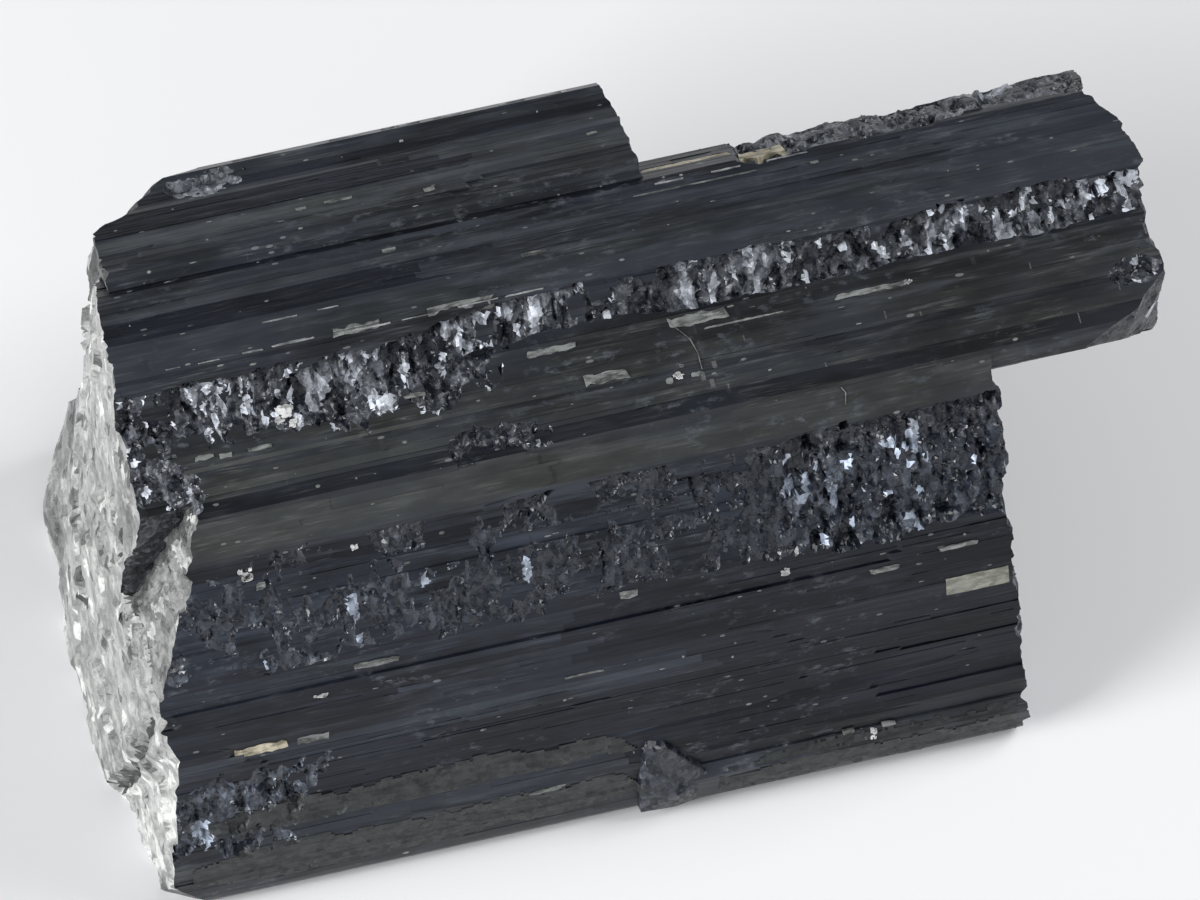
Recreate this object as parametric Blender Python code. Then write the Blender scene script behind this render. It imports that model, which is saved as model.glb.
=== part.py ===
"""A chunk of black tourmaline: three striated prisms grown side by side as one stone, broken at both ends.

Lengths are in millimetres and become metres where a mesh is made. X runs along the prisms, +Y is the back
and +Z is up. The chunk lies on a natural flat face at Z = 0, with the origin in the middle of its footprint.
"""

import math
import random

import bmesh
import bpy
import numpy as np

MM = 0.001
NODE = "tourmaline_crystal"
MIDDLE = (0.25, 0.12, 0.0)  # middle of the broken chunk's footprint, which becomes the origin

# Where the prisms end. The left end is one break right across, and on the right each breaks off by itself.
LEFT_BREAK = -29.0
CORE_RIGHT = 29.25
FRONT_RIGHT = 19.2
BACK_RIGHT = 3.9
BACK_LEFT = -24.3
STOCK = 3.0  # extra length that each break takes off

# Cross-sections as (y, z) corners, anticlockwise as seen from +X.
FRONT = [
    (-15.0, 0.0),
    (9.6, 0.0),
    (11.8, 4.6),
    (9.4, 13.6),
    (5.0, 20.0),
    (0.0, 23.2),
    (-6.1, 24.3),
    (-7.6, 22.7),
    (-10.8, 17.0),
    (-12.6, 12.0),
    (-14.1, 6.8),
    (-15.0, 4.4),
    (-15.4, 0.9),
]
CORE = [
    (-6.7, 23.5),
    (-3.0, 17.8),
    (2.4, 13.4),
    (8.0, 13.8),
    (10.7, 19.4),
    (9.6, 24.0),
    (7.0, 26.2),
    (3.1, 27.8),
    (0.9, 28.3),
    (-0.7, 25.4),
    (-6.1, 24.5),
]
BACK = [
    (3.0, 1.4),
    (12.2, 0.5),
    (14.7, 3.2),
    (16.0, 11.6),
    (16.2, 18.4),
    (16.0, 22.2),
    (15.4, 22.9),
    (13.3, 23.7),
    (8.5, 26.1),
    (3.6, 24.0),
]

# A ledge that runs along the foot of the front prism, on the right only, and the chunk at its left end.
FOOT = [
    (-15.8, 0.9),
    (-15.4, 0.4),
    (-12.0, 0.35),
    (-12.0, 3.6),
    (-15.2, 3.4),
    (-15.75, 2.8),
]
FOOT_LEFT = -1.4
FOOT_CHUNK = [
    (-1.9, -15.9, 0.9),
    (-1.9, -15.3, 0.5),
    (-1.9, -15.8, 2.6),
    (-1.6, -15.2, 4.6),
    (-1.3, -14.9, 5.9),
    (-0.2, -15.0, 5.6),
    (1.0, -15.4, 4.0),
    (2.2, -15.6, 2.6),
    (2.2, -15.6, 0.8),
    (0.0, -16.05, 2.2),
    (0.0, -16.0, 0.9),
    (-1.9, -13.9, 0.6),
    (2.2, -13.9, 0.6),
    (-1.9, -13.7, 5.0),
    (-1.0, -13.5, 6.2),
    (2.2, -13.9, 2.8),
]

# Striations: each face is split into lanes, and each lane into plates that stand a little proud or back.
LANE_WIDTH = 1.25
LANE_RELIEF = 0.17
LANE_MARGIN = 0.3
PLATE_LENGTH = 8.5
PLATE_END = 0.12
PLATE_CHANGE = 0.45

# Broken faces: flat chips of a few sizes, set at their own heights and tilts.
END_CELL = 1.5
BAND_CELL = 1.0
PIT_CELL = 0.7
FLAKE_CELL = 0.9
END_REACH = 8.0
BAND_REACH = 4.0
PIT_REACH = 3.0
FLAKE_REACH = 7.0
WALL = 0.5  # least thickness of a cutter
SPLIT_POINT = (-12.5, 12.5)
SPLIT_NORMAL = (0.93, 0.37)
SPLIT_DEPTH = 0.7
END_LEAN = 0.125
END_CURVE_FRONT = 0.004
END_CURVE_BACK = 0.013
FLAKE_AT = (-25.2, -6.5, 19.0)
FLAKE_OUT = (-0.92, -0.05, 0.39)
FLAKE_UP = (0.27, -0.01, 0.96)
FLAKE_WALL = 1.6
BACK_CORNER_LEAN = (1.7, 0.6)
BACK_CORNER_AT = 35.3
COARSE_CHIP = 4.2
FINE_CHIP = 1.9
HASH_P, HASH_Q, HASH_SALT, HASH_MIX = 374761393, 668265263, 40503, 1274126177
WORD = 0xFFFFFFFF


def clear_scene():
    for thing in list(bpy.data.objects):
        bpy.data.objects.remove(thing, do_unlink=True)


def scatter(i, j, salt):
    """A fixed number from 0 to 1 for each pair of whole numbers."""
    word = (i.astype(np.int64) * HASH_P + j.astype(np.int64) * HASH_Q + salt * HASH_SALT) & WORD
    word = ((word ^ (word >> 13)) * HASH_MIX) & WORD
    word = ((word ^ (word >> 15)) * HASH_P) & WORD
    return ((word ^ (word >> 16)) & 0xFFFFFF) / 0xFFFFFF


def chips(p, q, size, salt, step, tilt):
    """Height of a face broken into flat chips about size across, at most step apart in height."""
    i, j = np.floor(p / size), np.floor(q / size)
    nearest = np.full(np.shape(p), np.inf)
    height = np.zeros(np.shape(p))
    for di in (-1, 0, 1):
        for dj in (-1, 0, 1):
            ci, cj = i + di, j + dj
            from_p = p - (ci + scatter(ci, cj, salt)) * size
            from_q = q - (cj + scatter(ci, cj, salt + 1)) * size
            lean_p = tilt * (scatter(ci, cj, salt + 2) - 0.5)
            lean_q = tilt * (scatter(ci, cj, salt + 3) - 0.5)
            plane = step * (scatter(ci, cj, salt + 4) - 0.5) + lean_p * from_p + lean_q * from_q
            distance = from_p**2 + from_q**2
            closer = distance < nearest
            nearest = np.where(closer, distance, nearest)
            height = np.where(closer, plane, height)
    return height


def swell(p, size, salt):
    """A smooth wander from -0.5 to 0.5 along p, over about size."""
    whole = np.floor(p / size)
    part = p / size - whole
    ease = part * part * (3 - 2 * part)
    still = np.zeros(np.shape(p))
    low, high = scatter(whole, still, salt), scatter(whole + 1, still, salt)
    return low + (high - low) * ease - 0.5


def new_object(name, points, faces, colour):
    """A closed mesh with these faces, or, with none given, the convex shape around the points."""
    mesh = bpy.data.meshes.new(name)
    mesh.from_pydata(((np.asarray(points, float) - MIDDLE) * MM).tolist(), [], faces)
    mesh.validate()
    shape = bmesh.new()
    shape.from_mesh(mesh)
    if not faces:
        bmesh.ops.convex_hull(shape, input=shape.verts)
    bmesh.ops.triangulate(shape, faces=shape.faces)
    bmesh.ops.recalc_face_normals(shape, faces=shape.faces)
    shape.to_mesh(mesh)
    shape.free()
    thing = bpy.data.objects.new(name, mesh)
    bpy.context.scene.collection.objects.link(thing)
    mesh.materials.append(colour)
    return thing


def stone(name, colour, roughness):
    finish = bpy.data.materials.new(name)
    finish.use_nodes = True
    shader = finish.node_tree.nodes["Principled BSDF"]
    shader.inputs["Base Color"].default_value = (*colour, 1)
    shader.inputs["Roughness"].default_value = roughness
    shader.inputs["Metallic"].default_value = 0
    return finish


def plate_ends(start, end, rng):
    """Where plates may end along X."""
    count = round((end - start) / PLATE_LENGTH)
    pitch = (end - start) / count
    return [start + pitch * (k + rng.uniform(-0.3, 0.3)) for k in range(1, count)]


def plate_heights(count, rng):
    """How far a lane stands out in each of its plates."""
    height = rng.uniform(-LANE_RELIEF, LANE_RELIEF)
    heights = [height]
    for _ in range(count - 1):
        if rng.random() < PLATE_CHANGE:
            height = rng.uniform(-LANE_RELIEF, LANE_RELIEF)
        heights.append(height)
    return heights


def lane_edges(length, rng):
    """Distances along a face at which its lanes meet."""
    room = length - 2 * LANE_MARGIN
    count = max(1, round(room / LANE_WIDTH))
    shares = [rng.uniform(0.55, 1.45) for _ in range(count)]
    edges = [LANE_MARGIN]
    for share in shares:
        edges.append(edges[-1] + room * share / sum(shares))
    return edges


def prism(name, corners, start, end, seed, colour, flat_faces=()):
    """A striated prism. Faces listed in flat_faces, by their first corner, have no lanes."""
    rng = random.Random(seed)
    ends = plate_ends(start, end, rng)
    stations = [start]
    for x in ends:
        stations += [x - PLATE_END, x + PLATE_END]
    stations.append(end)
    outline = []
    for k, (y, z) in enumerate(corners):
        outline.append((y, z, 0.0, 0.0, [0.0] * (len(ends) + 1)))
        y2, z2 = corners[(k + 1) % len(corners)]
        length = math.hypot(y2 - y, z2 - z)
        if k in flat_faces or length < 2 * LANE_MARGIN + 0.5:
            continue
        run_y, run_z = (y2 - y) / length, (z2 - z) / length
        edges = lane_edges(length, rng)
        for low, high in zip(edges, edges[1:]):
            heights = plate_heights(len(ends) + 1, rng)
            for s in (low, high):
                outline.append((y + run_y * s, z + run_z * s, run_z, -run_y, heights))
    points = []
    for station, x in enumerate(stations):
        for y, z, out_y, out_z, heights in outline:
            height = heights[station // 2]
            points.append((x, y + out_y * height, z + out_z * height))
    n = len(outline)
    faces = [list(range(n))[::-1], list(range(n * (len(stations) - 1), n * len(stations)))]
    for station in range(len(stations) - 1):
        for k in range(n):
            a, b = station * n + k, station * n + (k + 1) % n
            faces.append([a, b, b + n, a + n])
    return new_object(name, points, faces, colour)


def cutter(name, origin, p_axis, q_axis, p_span, q_span, cell, height, reach, colour):
    """A block that takes off what lies outside a broken face.

    The face is height(p, q) above the plane through origin, measured along p_axis x q_axis, and the block
    reaches outwards from it.
    """
    p_axis, q_axis = np.array(p_axis, float), np.array(q_axis, float)
    out = np.cross(p_axis, q_axis)
    count_p = round((p_span[1] - p_span[0]) / cell) + 1
    count_q = round((q_span[1] - q_span[0]) / cell) + 1
    p, q = np.meshgrid(np.linspace(*p_span, count_p), np.linspace(*q_span, count_q), indexing="ij")
    i, j = np.meshgrid(np.arange(count_p), np.arange(count_q), indexing="ij")
    inside_p, inside_q = (i > 0) & (i < count_p - 1), (j > 0) & (j < count_q - 1)
    salt = len(name)
    p = p + np.where(inside_p, 0.6 * cell * (scatter(i, j, salt) - 0.5), 0)
    q = q + np.where(inside_q, 0.6 * cell * (scatter(i, j, salt + 1) - 0.5), 0)
    h = np.minimum(height(p, q), reach - WALL)
    face = np.array(origin) + p[..., None] * p_axis + q[..., None] * q_axis + h[..., None] * out
    points = [tuple(point) for point in face.reshape(-1, 3)]
    number = np.arange(count_p * count_q).reshape(count_p, count_q)
    faces = []
    for i in range(count_p - 1):
        for j in range(count_q - 1):
            a, b, c, d = number[i, j], number[i + 1, j], number[i + 1, j + 1], number[i, j + 1]
            split = [[a, b, c], [a, c, d]] if (i + j) % 2 else [[a, b, d], [b, c, d]]
            faces += [[int(v) for v in triangle] for triangle in split]
    far = len(points)
    for pp, qq in ((0, 0), (1, 0), (1, 1), (0, 1)):
        corner = np.array(origin) + p_span[pp] * p_axis + q_span[qq] * q_axis + reach * out
        points.append(tuple(corner))
    rims = [number[:, 0], number[-1, :], number[::-1, -1], number[0, ::-1]]
    for side, rim in enumerate(rims):
        faces.append([int(v) for v in rim] + [far + (side + 1) % 4, far + side])
    faces.append([far, far + 1, far + 2, far + 3])
    block = new_object(name, points, faces, colour)
    return hide(block)


def hide(helper):
    helper.hide_render = True
    helper.display_type = "WIRE"
    return helper


def combine(body, helper, operation, solver="EXACT"):
    step = body.modifiers.new(helper.name, "BOOLEAN")
    step.operation = operation
    step.object = helper
    step.solver = solver


def broken(step, tilt, salt):
    """Relief of a break: coarse chips with finer chips on them."""

    def relief(p, q):
        coarse = chips(p, q, COARSE_CHIP, salt, step, tilt)
        fine = chips(p, q, FINE_CHIP, salt + 11, 0.45 * step, 1.5 * tilt)
        return coarse + fine

    return relief


def left_break(z, y):
    """The left end leans back towards the top and the back, and its low front corner has split off."""
    curve = END_CURVE_FRONT * np.minimum(y, 0) ** 2 + END_CURVE_BACK * np.maximum(y, 0) ** 2
    bulge = -LEFT_BREAK - END_LEAN * z - curve
    past_split = SPLIT_NORMAL[0] * (y - SPLIT_POINT[0]) + SPLIT_NORMAL[1] * (z - SPLIT_POINT[1])
    split = SPLIT_DEPTH * np.clip(0.5 - past_split, 0, 1)
    return bulge - split + broken(0.7, 0.16, 20)(z, y)


def back_left_break(z, y):
    """The back prism breaks off shorter, and its top back corner is gone."""
    corner = np.maximum(BACK_CORNER_LEAN[0] * y + BACK_CORNER_LEAN[1] * z - BACK_CORNER_AT, 0)
    return -BACK_LEFT + 0.3 - 0.02 * z - corner + broken(0.7, 0.16, 30)(z, y)


def right_break(offset, salt, step=0.9):
    """A right end: flat chips about a plane across the prism."""

    def face(y, z):
        return offset + broken(step, 0.2, salt)(y, z)

    return face


def core_right_break(y, z):
    """The long prism's end, broken back along its front and back edges."""
    front_corner = np.maximum(-3.9 - y, 0) + 2.4 * np.maximum(-5.9 - y, 0)
    back_corner = 0.45 * np.clip(y - 4.0, 0, 1.9)
    return CORE_RIGHT - front_corner - back_corner + broken(0.7, 0.16, 40)(y, z)


def band_break(
    low, high, wander, salt, depth, step,
    foot_rise=1.1, head_rise=1.1, end_rise=1.0, start=-99.0, stop=99.0,
):
    """A rough band along X from low to high across it, fading out at its wandering edges and its ends."""

    def face(x, q):
        foot = low + wander * (swell(x, 6.0, salt) + 0.5 * swell(x, 1.7, salt + 1))
        head = high + wander * (swell(x, 7.0, salt + 2) + 0.5 * swell(x, 1.9, salt + 3))
        climb = foot_rise * np.maximum(foot - q, 0) + head_rise * np.maximum(q - head, 0)
        climb = climb + end_rise * (np.maximum(start - x, 0) + np.maximum(x - stop, 0))
        chunky = chips(x, q, 2.4, salt + 4, step, 0.5)
        narrow = chips(x * 1.8, q, 1.5, salt + 5, 0.5 * step, 0.4)
        return -depth + chunky + narrow + climb

    return face


def pit_break(depth, length, width, salt):
    """A single shallow pit with a wandering rim."""

    def face(p, q):
        far = (2 * p / length) ** 2 + (2 * q / width) ** 2
        return depth * (far - 1) + chips(p, q, 1.3, salt, 0.35, 0.3)

    return face


def slope(low_corner, high_corner):
    """Unit (y, z) from one corner up to another, and the distance between them."""
    run_y, run_z = high_corner[0] - low_corner[0], high_corner[1] - low_corner[1]
    length = math.hypot(run_y, run_z)
    return (0.0, run_y / length, run_z / length), length


def band(name, low_corner, high_corner, x_span, face, break_face, below=2.6, above=2.0):
    """Cutter for a rough band on the face between two corners of a cross-section."""
    up, length = slope(low_corner, high_corner)
    q_span = (-below, length + above)
    along = (1, 0, 0)
    return cutter(name, (0, *low_corner), along, up, x_span, q_span, BAND_CELL, face, BAND_REACH, break_face)


def pit(name, at, up, length, width, depth, salt, break_face):
    """Cutter for one pit, centred at a point on a face that rises along up."""
    half_p, half_q = 0.75 * length, 0.75 * width
    face = pit_break(depth, length, width, salt)
    spans = (-half_p, half_p), (-half_q, half_q)
    return cutter(name, at, (1, 0, 0), (0, *up), *spans, PIT_CELL, face, PIT_REACH, break_face)


def end_block(name, y_span, z_span, face, reach, break_face, faces_left=False):
    """Cutter for a broken end: it takes off what lies beyond face, to the right or to the left."""
    back, up, at = (0, 1, 0), (0, 0, 1), (0, 0, 0)
    if faces_left:
        return cutter(name, at, up, back, z_span, y_span, END_CELL, face, reach, break_face)
    return cutter(name, at, back, up, y_span, z_span, END_CELL, face, reach, break_face)


def front_prism(crystal_face, break_face):
    body = prism(NODE, FRONT, LEFT_BREAK - STOCK, FRONT_RIGHT + STOCK, 3, crystal_face, flat_faces=(0,))
    foot = prism("foot_ledge", FOOT, FOOT_LEFT, FRONT_RIGHT + STOCK, 4, crystal_face)
    combine(body, hide(foot), "UNION")
    combine(body, hide(new_object("foot_chunk", FOOT_CHUNK, [], break_face)), "UNION")
    face = right_break(FRONT_RIGHT, 50)
    end = end_block("front_right_break", (-18, 15), (-2, 27), face, FRONT_RIGHT + END_REACH, break_face)
    combine(body, end, "DIFFERENCE")
    length = slope(FRONT[8], FRONT[7])[1]
    face = band_break(-0.6, length - 0.5, 1.1, 60, 0.45, 1.0)
    rough = band("front_band_break", FRONT[8], FRONT[7], (-33, 23), face, break_face, below=3.2)
    combine(body, rough, "DIFFERENCE")
    face = band_break(0.6, 5.2, 1.5, 66, 0.3, 0.9, 0.8, 0.8, 0.25, stop=-20.5)
    crumbled = band("crumbled_corner", FRONT[11], FRONT[9], (-32, -12), face, break_face, below=2.4)
    combine(body, crumbled, "DIFFERENCE")
    face = band_break(3.4, 7.4, 1.6, 68, 0.35, 0.8, 0.8, 0.8, start=5.5)
    behind = band("front_back_break", FRONT[3], FRONT[2], (1, 23), face, break_face, below=0.5)
    combine(body, behind, "DIFFERENCE")
    return body


def core_prism(crystal_face, break_face):
    body = prism("core_prism", CORE, LEFT_BREAK - STOCK, CORE_RIGHT + STOCK, 5, crystal_face)
    reach = CORE_RIGHT + END_REACH
    end = end_block("core_right_break", (-10, 13.5), (11, 31), core_right_break, reach, break_face)
    combine(body, end, "DIFFERENCE")
    length = slope(CORE[9], CORE[8])[1]
    face = band_break(0.0, length - 0.5, 0.7, 70, 0.35, 1.0, foot_rise=4.0)
    rough = band("core_band_break", CORE[9], CORE[8], (-33, 33), face, break_face, below=1.6)
    combine(body, rough, "DIFFERENCE")
    length = slope(CORE[6], CORE[5])[1]
    face = band_break(0.3, length - 0.3, 0.6, 90, 0.3, 0.7, 1.4, 1.4, start=9.5)
    rim = band("core_rim_break", CORE[6], CORE[5], (6, 33), face, break_face, below=1.6)
    combine(body, rim, "DIFFERENCE")
    hollow = pit("ridge_pit", (-7.0, -5.6, 24.5), (0.97, 0.24), 5.2, 2.4, 0.5, 94, break_face)
    combine(body, hollow, "DIFFERENCE")
    return hide(body)


def back_prism(crystal_face, break_face):
    body = prism("back_prism", BACK, BACK_LEFT - STOCK - 2, BACK_RIGHT + STOCK, 8, crystal_face)
    face, reach = right_break(BACK_RIGHT, 80, 0.6), BACK_RIGHT + END_REACH
    right = end_block("back_right_break", (1, 19), (-2, 29), face, reach, break_face)
    combine(body, right, "DIFFERENCE")
    reach = END_REACH - BACK_LEFT
    face = back_left_break
    left = end_block("back_left_break", (1, 19), (-2, 29), face, reach, break_face, faces_left=True)
    combine(body, left, "DIFFERENCE", "MANIFOLD")
    chipped = pit("rim_chip", (-15.8, 14.6, 23.2), (0.95, -0.3), 4.4, 2.2, 0.35, 97, break_face)
    combine(body, chipped, "DIFFERENCE")
    face = band_break(2.2, 5.6, 1.4, 99, 0.35, 0.8, 0.8, 0.8, start=-19.0, stop=-2.0)
    behind = band("back_band_break", BACK[4], BACK[3], (-24, 3.5), face, break_face)
    combine(body, behind, "DIFFERENCE")
    return hide(body)


def corner_flake(break_face):
    """The flake lost from the corner of the left end and the front, with a wall left standing behind it."""
    out, up = np.array(FLAKE_OUT), np.array(FLAKE_UP)
    out, up = out / np.linalg.norm(out), up / np.linalg.norm(up)
    up = up - out * np.dot(out, up)
    spans = (-FLAKE_WALL, 8.5), (-9.0, 10.0)

    def face(p, q):
        return chips(p, q, 2.6, 15, 0.5, 0.2)

    side = np.cross(up, out)
    return cutter("corner_flake", FLAKE_AT, side, up, *spans, FLAKE_CELL, face, FLAKE_REACH, break_face)


def build():
    clear_scene()
    crystal_face = stone("black crystal face", (0.012, 0.013, 0.016), 0.25)
    break_face = stone("broken face", (0.11, 0.11, 0.105), 0.5)
    body = front_prism(crystal_face, break_face)
    combine(body, core_prism(crystal_face, break_face), "UNION", "MANIFOLD")
    combine(body, back_prism(crystal_face, break_face), "UNION", "MANIFOLD")
    reach = END_REACH - LEFT_BREAK
    end = end_block("left_break", (-19, 20), (-3, 32), left_break, reach, break_face, faces_left=True)
    combine(body, end, "DIFFERENCE", "MANIFOLD")
    combine(body, corner_flake(break_face), "DIFFERENCE", "MANIFOLD")


build()
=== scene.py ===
"""Looks of the black tourmaline chunk: fine striations, chipped breaks, mineral flakes and their finishes.

Lengths are in millimetres, in the part's own frame, and become metres where a mesh is made.
"""

import math
import random

import bmesh
import bpy
import numpy as np
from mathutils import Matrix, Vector
from mathutils.bvhtree import BVHTree


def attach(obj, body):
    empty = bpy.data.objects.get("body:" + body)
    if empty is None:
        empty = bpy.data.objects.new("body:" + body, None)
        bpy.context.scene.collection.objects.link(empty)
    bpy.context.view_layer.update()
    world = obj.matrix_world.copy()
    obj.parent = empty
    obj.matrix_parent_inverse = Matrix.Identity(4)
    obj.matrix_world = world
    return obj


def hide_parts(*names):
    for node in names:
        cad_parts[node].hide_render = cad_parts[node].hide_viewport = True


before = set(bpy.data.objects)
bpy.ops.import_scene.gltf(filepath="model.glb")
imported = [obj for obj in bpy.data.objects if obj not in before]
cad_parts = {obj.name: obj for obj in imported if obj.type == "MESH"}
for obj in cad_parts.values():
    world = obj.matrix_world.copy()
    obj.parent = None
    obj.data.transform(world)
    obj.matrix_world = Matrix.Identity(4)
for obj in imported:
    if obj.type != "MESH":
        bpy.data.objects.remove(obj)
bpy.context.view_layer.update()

MM = 0.001
MIDDLE = (0.25, 0.12, 0.0)  # middle of the broken chunk's footprint, which is the origin
FAR = 99.0  # past every end of the stone

# Where the prisms end along X, before their ends are broken, and how much longer each is made
LEFT_BREAK, BACK_LEFT, FOOT_LEFT = -29.0, -24.3, -1.4
CORE_RIGHT, FRONT_RIGHT, BACK_RIGHT = 29.25, 19.2, 3.9
STOCK = 3.0

# Cross-sections as (y, z) corners, anticlockwise as seen from +X
FRONT = [(-15.0, 0.0), (9.6, 0.0), (11.8, 4.6), (9.4, 13.6), (5.0, 20.0), (0.0, 23.2), (-6.1, 24.3),
         (-7.6, 22.7), (-10.8, 17.0), (-12.6, 12.0), (-14.1, 6.8), (-15.0, 4.4), (-15.4, 0.9)]
CORE = [(-6.7, 23.5), (-3.0, 17.8), (2.4, 13.4), (8.0, 13.8), (10.7, 19.4), (9.6, 24.0), (7.0, 26.2),
        (3.1, 27.8), (0.9, 28.3), (-0.7, 25.4), (-6.1, 24.5)]
BACK = [(3.0, 1.4), (12.2, 0.5), (14.7, 3.2), (16.0, 11.6), (16.2, 18.4), (16.0, 22.2), (15.4, 22.9),
        (13.3, 23.7), (8.5, 26.1), (3.6, 24.0)]
FOOT = [(-15.8, 0.9), (-15.4, 0.4), (-12.0, 0.35), (-12.0, 3.6), (-15.2, 3.4), (-15.75, 2.8)]
# The broken lump on the left end of the foot ledge, as (x, y, z) corners of its hull
FOOT_CHUNK = [
    (-1.9, -15.9, 0.9), (-1.9, -15.3, 0.5), (-1.9, -15.8, 2.6), (-1.6, -15.2, 4.6), (-1.3, -14.9, 5.9),
    (-0.2, -15.0, 5.6), (1.0, -15.4, 4.0), (2.2, -15.6, 2.6), (2.2, -15.6, 0.8), (0.0, -16.05, 2.2),
    (0.0, -16.0, 0.9), (-1.9, -13.9, 0.6), (2.2, -13.9, 0.6), (-1.9, -13.7, 5.0), (-1.0, -13.5, 6.2),
    (2.2, -13.9, 2.8),
]

# Striations: wide lanes, and fine lanes on them. Both are cut into plates along their length.
LANE_WIDTH, FINE_WIDTH = 1.25, 0.4
LANE_SHARE, FINE_SHARE = (0.55, 1.45), (0.35, 1.65)  # least and most of that width
LANE_RELIEF, FINE_RELIEF = 0.075, 0.02
PLATE_LENGTH, FINE_PLATE = 8.5, 2.8
PLATE_END, FINE_END = 0.12, 0.04  # half the length of the slope from plate to plate
PLATE_CHANGE, FINE_CHANGE = 0.45, 0.3  # share of the plates that stand higher or lower than the last
PLATE_STAGGER, FINE_STAGGER = 2.6, 1.1  # how far a lane's plates are shifted along it
STAGGER_EASE = 8.0
PLATE_GAP, END_GAP = 0.8, 1.0  # room that a fine plate's end leaves
LANE_MARGIN, LEAST_LANES = 0.3, 0.5
SHADE_SPREAD = 0.7
PLAIN_TONE = (0.1, 0.1, 0.0)

# Broken faces
END_CELL, LEFT_CELL, FLAKE_CELL, BAND_CELL, PIT_CELL = 0.3, 0.25, 0.22, 0.17, 0.15
CELL_SCATTER = 0.6
WALL = 0.5
WALL_TONE, FLAKE_WALL_TONE, HULL_TONE = 0.08, 0.07, 0.06
COARSE_CHIP, FINE_CHIP, SMALL_CHIP, GRIT = 4.2, 1.9, 0.85, 0.5
COLUMN_SLIM, COLUMN_HEIGHT, COLUMN_SALT = 3.2, 1.5, 700
RIGHTWARDS, LEFTWARDS = ((0, 1, 0), (0, 0, 1)), ((0, 0, 1), (0, 1, 0))  # axes across an end
END_REACH = 8

# The left end, in y and z: how it leans and curves, where it has split, bulges and loses its corners
END_LEAN, END_CURVE_FRONT, END_CURVE_BACK = 0.125, 0.004, 0.013
SPLIT_AT, SPLIT_NORMAL, SPLIT_DEPTH = (-12.5, 12.5), (0.93, 0.37), 0.7
BULGE, BULGE_AT, BULGE_SPREAD = 1.1, (9.5, 2), (3, 3.5)
CORNER_LEAN = (0.873, 0.489)
FOOT_CORNER_AT, FOOT_CORNER_SLOPE = 12.0, 1.8
GROOVE_DEPTH, GROOVE_WIDTH, CRACK_WIDTH = 0.8, 0.5, 0.32
# The back prism's left end
BACK_LEAN, BACK_SHORT = 0.02, 0.3
BACK_CORNER_LEAN, BACK_CORNER_AT = (1.7, 0.6), 35.3
BACK_STEP_AT, BACK_STEP, BACK_STEP_WIDTH = 14.9, 3.0, 0.9
# The long prism's right end
CORE_SHORT = 0.4
CORE_FRONT_CORNER, CORE_FRONT_TIP, CORE_BACK_CORNER = -3.9, -5.9, 4.0
# The lost flake's bed: a place on it, its way out and up, and the wall over it
FLAKE_AT, FLAKE_OUT, FLAKE_UP, FLAKE_WALL = (-25.2, -6.5, 19.0), (-0.92, -0.05, 0.39), (0.27, -0.01, 0.96), 1.6

# Cracks across the left end as (z, y) points, and the spots of painted shade in its pits and where it turns from
# the light, as (z, y, radius)
END_CRACKS = [
    [(0.5, -7.5), (5.3, -9.3), (10.0, -10.1), (12.2, -10.0)],
    [(19.6, -2.6), (16.5, -4.4), (15.5, -4.9), (16.0, -8.2), (14.2, -11.5)],
]
SHADED_PITS = [(10.2, 10.2, 0.9), (6.0, 1.0, 0.35), (13.0, 3.5, 0.4), (16.5, -2.0, 0.35), (9.0, -5.0, 0.3),
             (19.0, 4.0, 0.4)]
SHADED_SPOTS = [(3.0, 6.8, 2.6), (9.5, 10.2, 2.2), (22.0, -3.5, 1.5), (0.8, -14.6, 1.7)]
BACK_PALE_LEAN, BACK_PALE_BELOW = (0.87, 0.49), 19.2
# Painted glints: bright patches on the long bands, where more chips are painted pale and white, as (x, distance
# up the band, radius)
CORE_GLINTS = [(-14.2, 0.6, 1.3), (-6.5, 2.0, 1.0), (-4.2, 2.2, 1.2), (4.0, 1.8, 1.2), (7.8, 1.8, 1.4),
               (18.5, 2.2, 1.1)]
FRONT_GLINTS = [(9.3, 3.4, 1.8), (10.8, 0.8, 1.3), (14.5, 3.5, 2.0), (-15.3, 5.4, 0.5), (-24.0, 0.2, 1.6)]
TERRACE_GLINTS = [(-17.2, 4.9, 0.9), (-21.5, 4.2, 0.8), (-12.0, 4.6, 0.8)]

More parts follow.
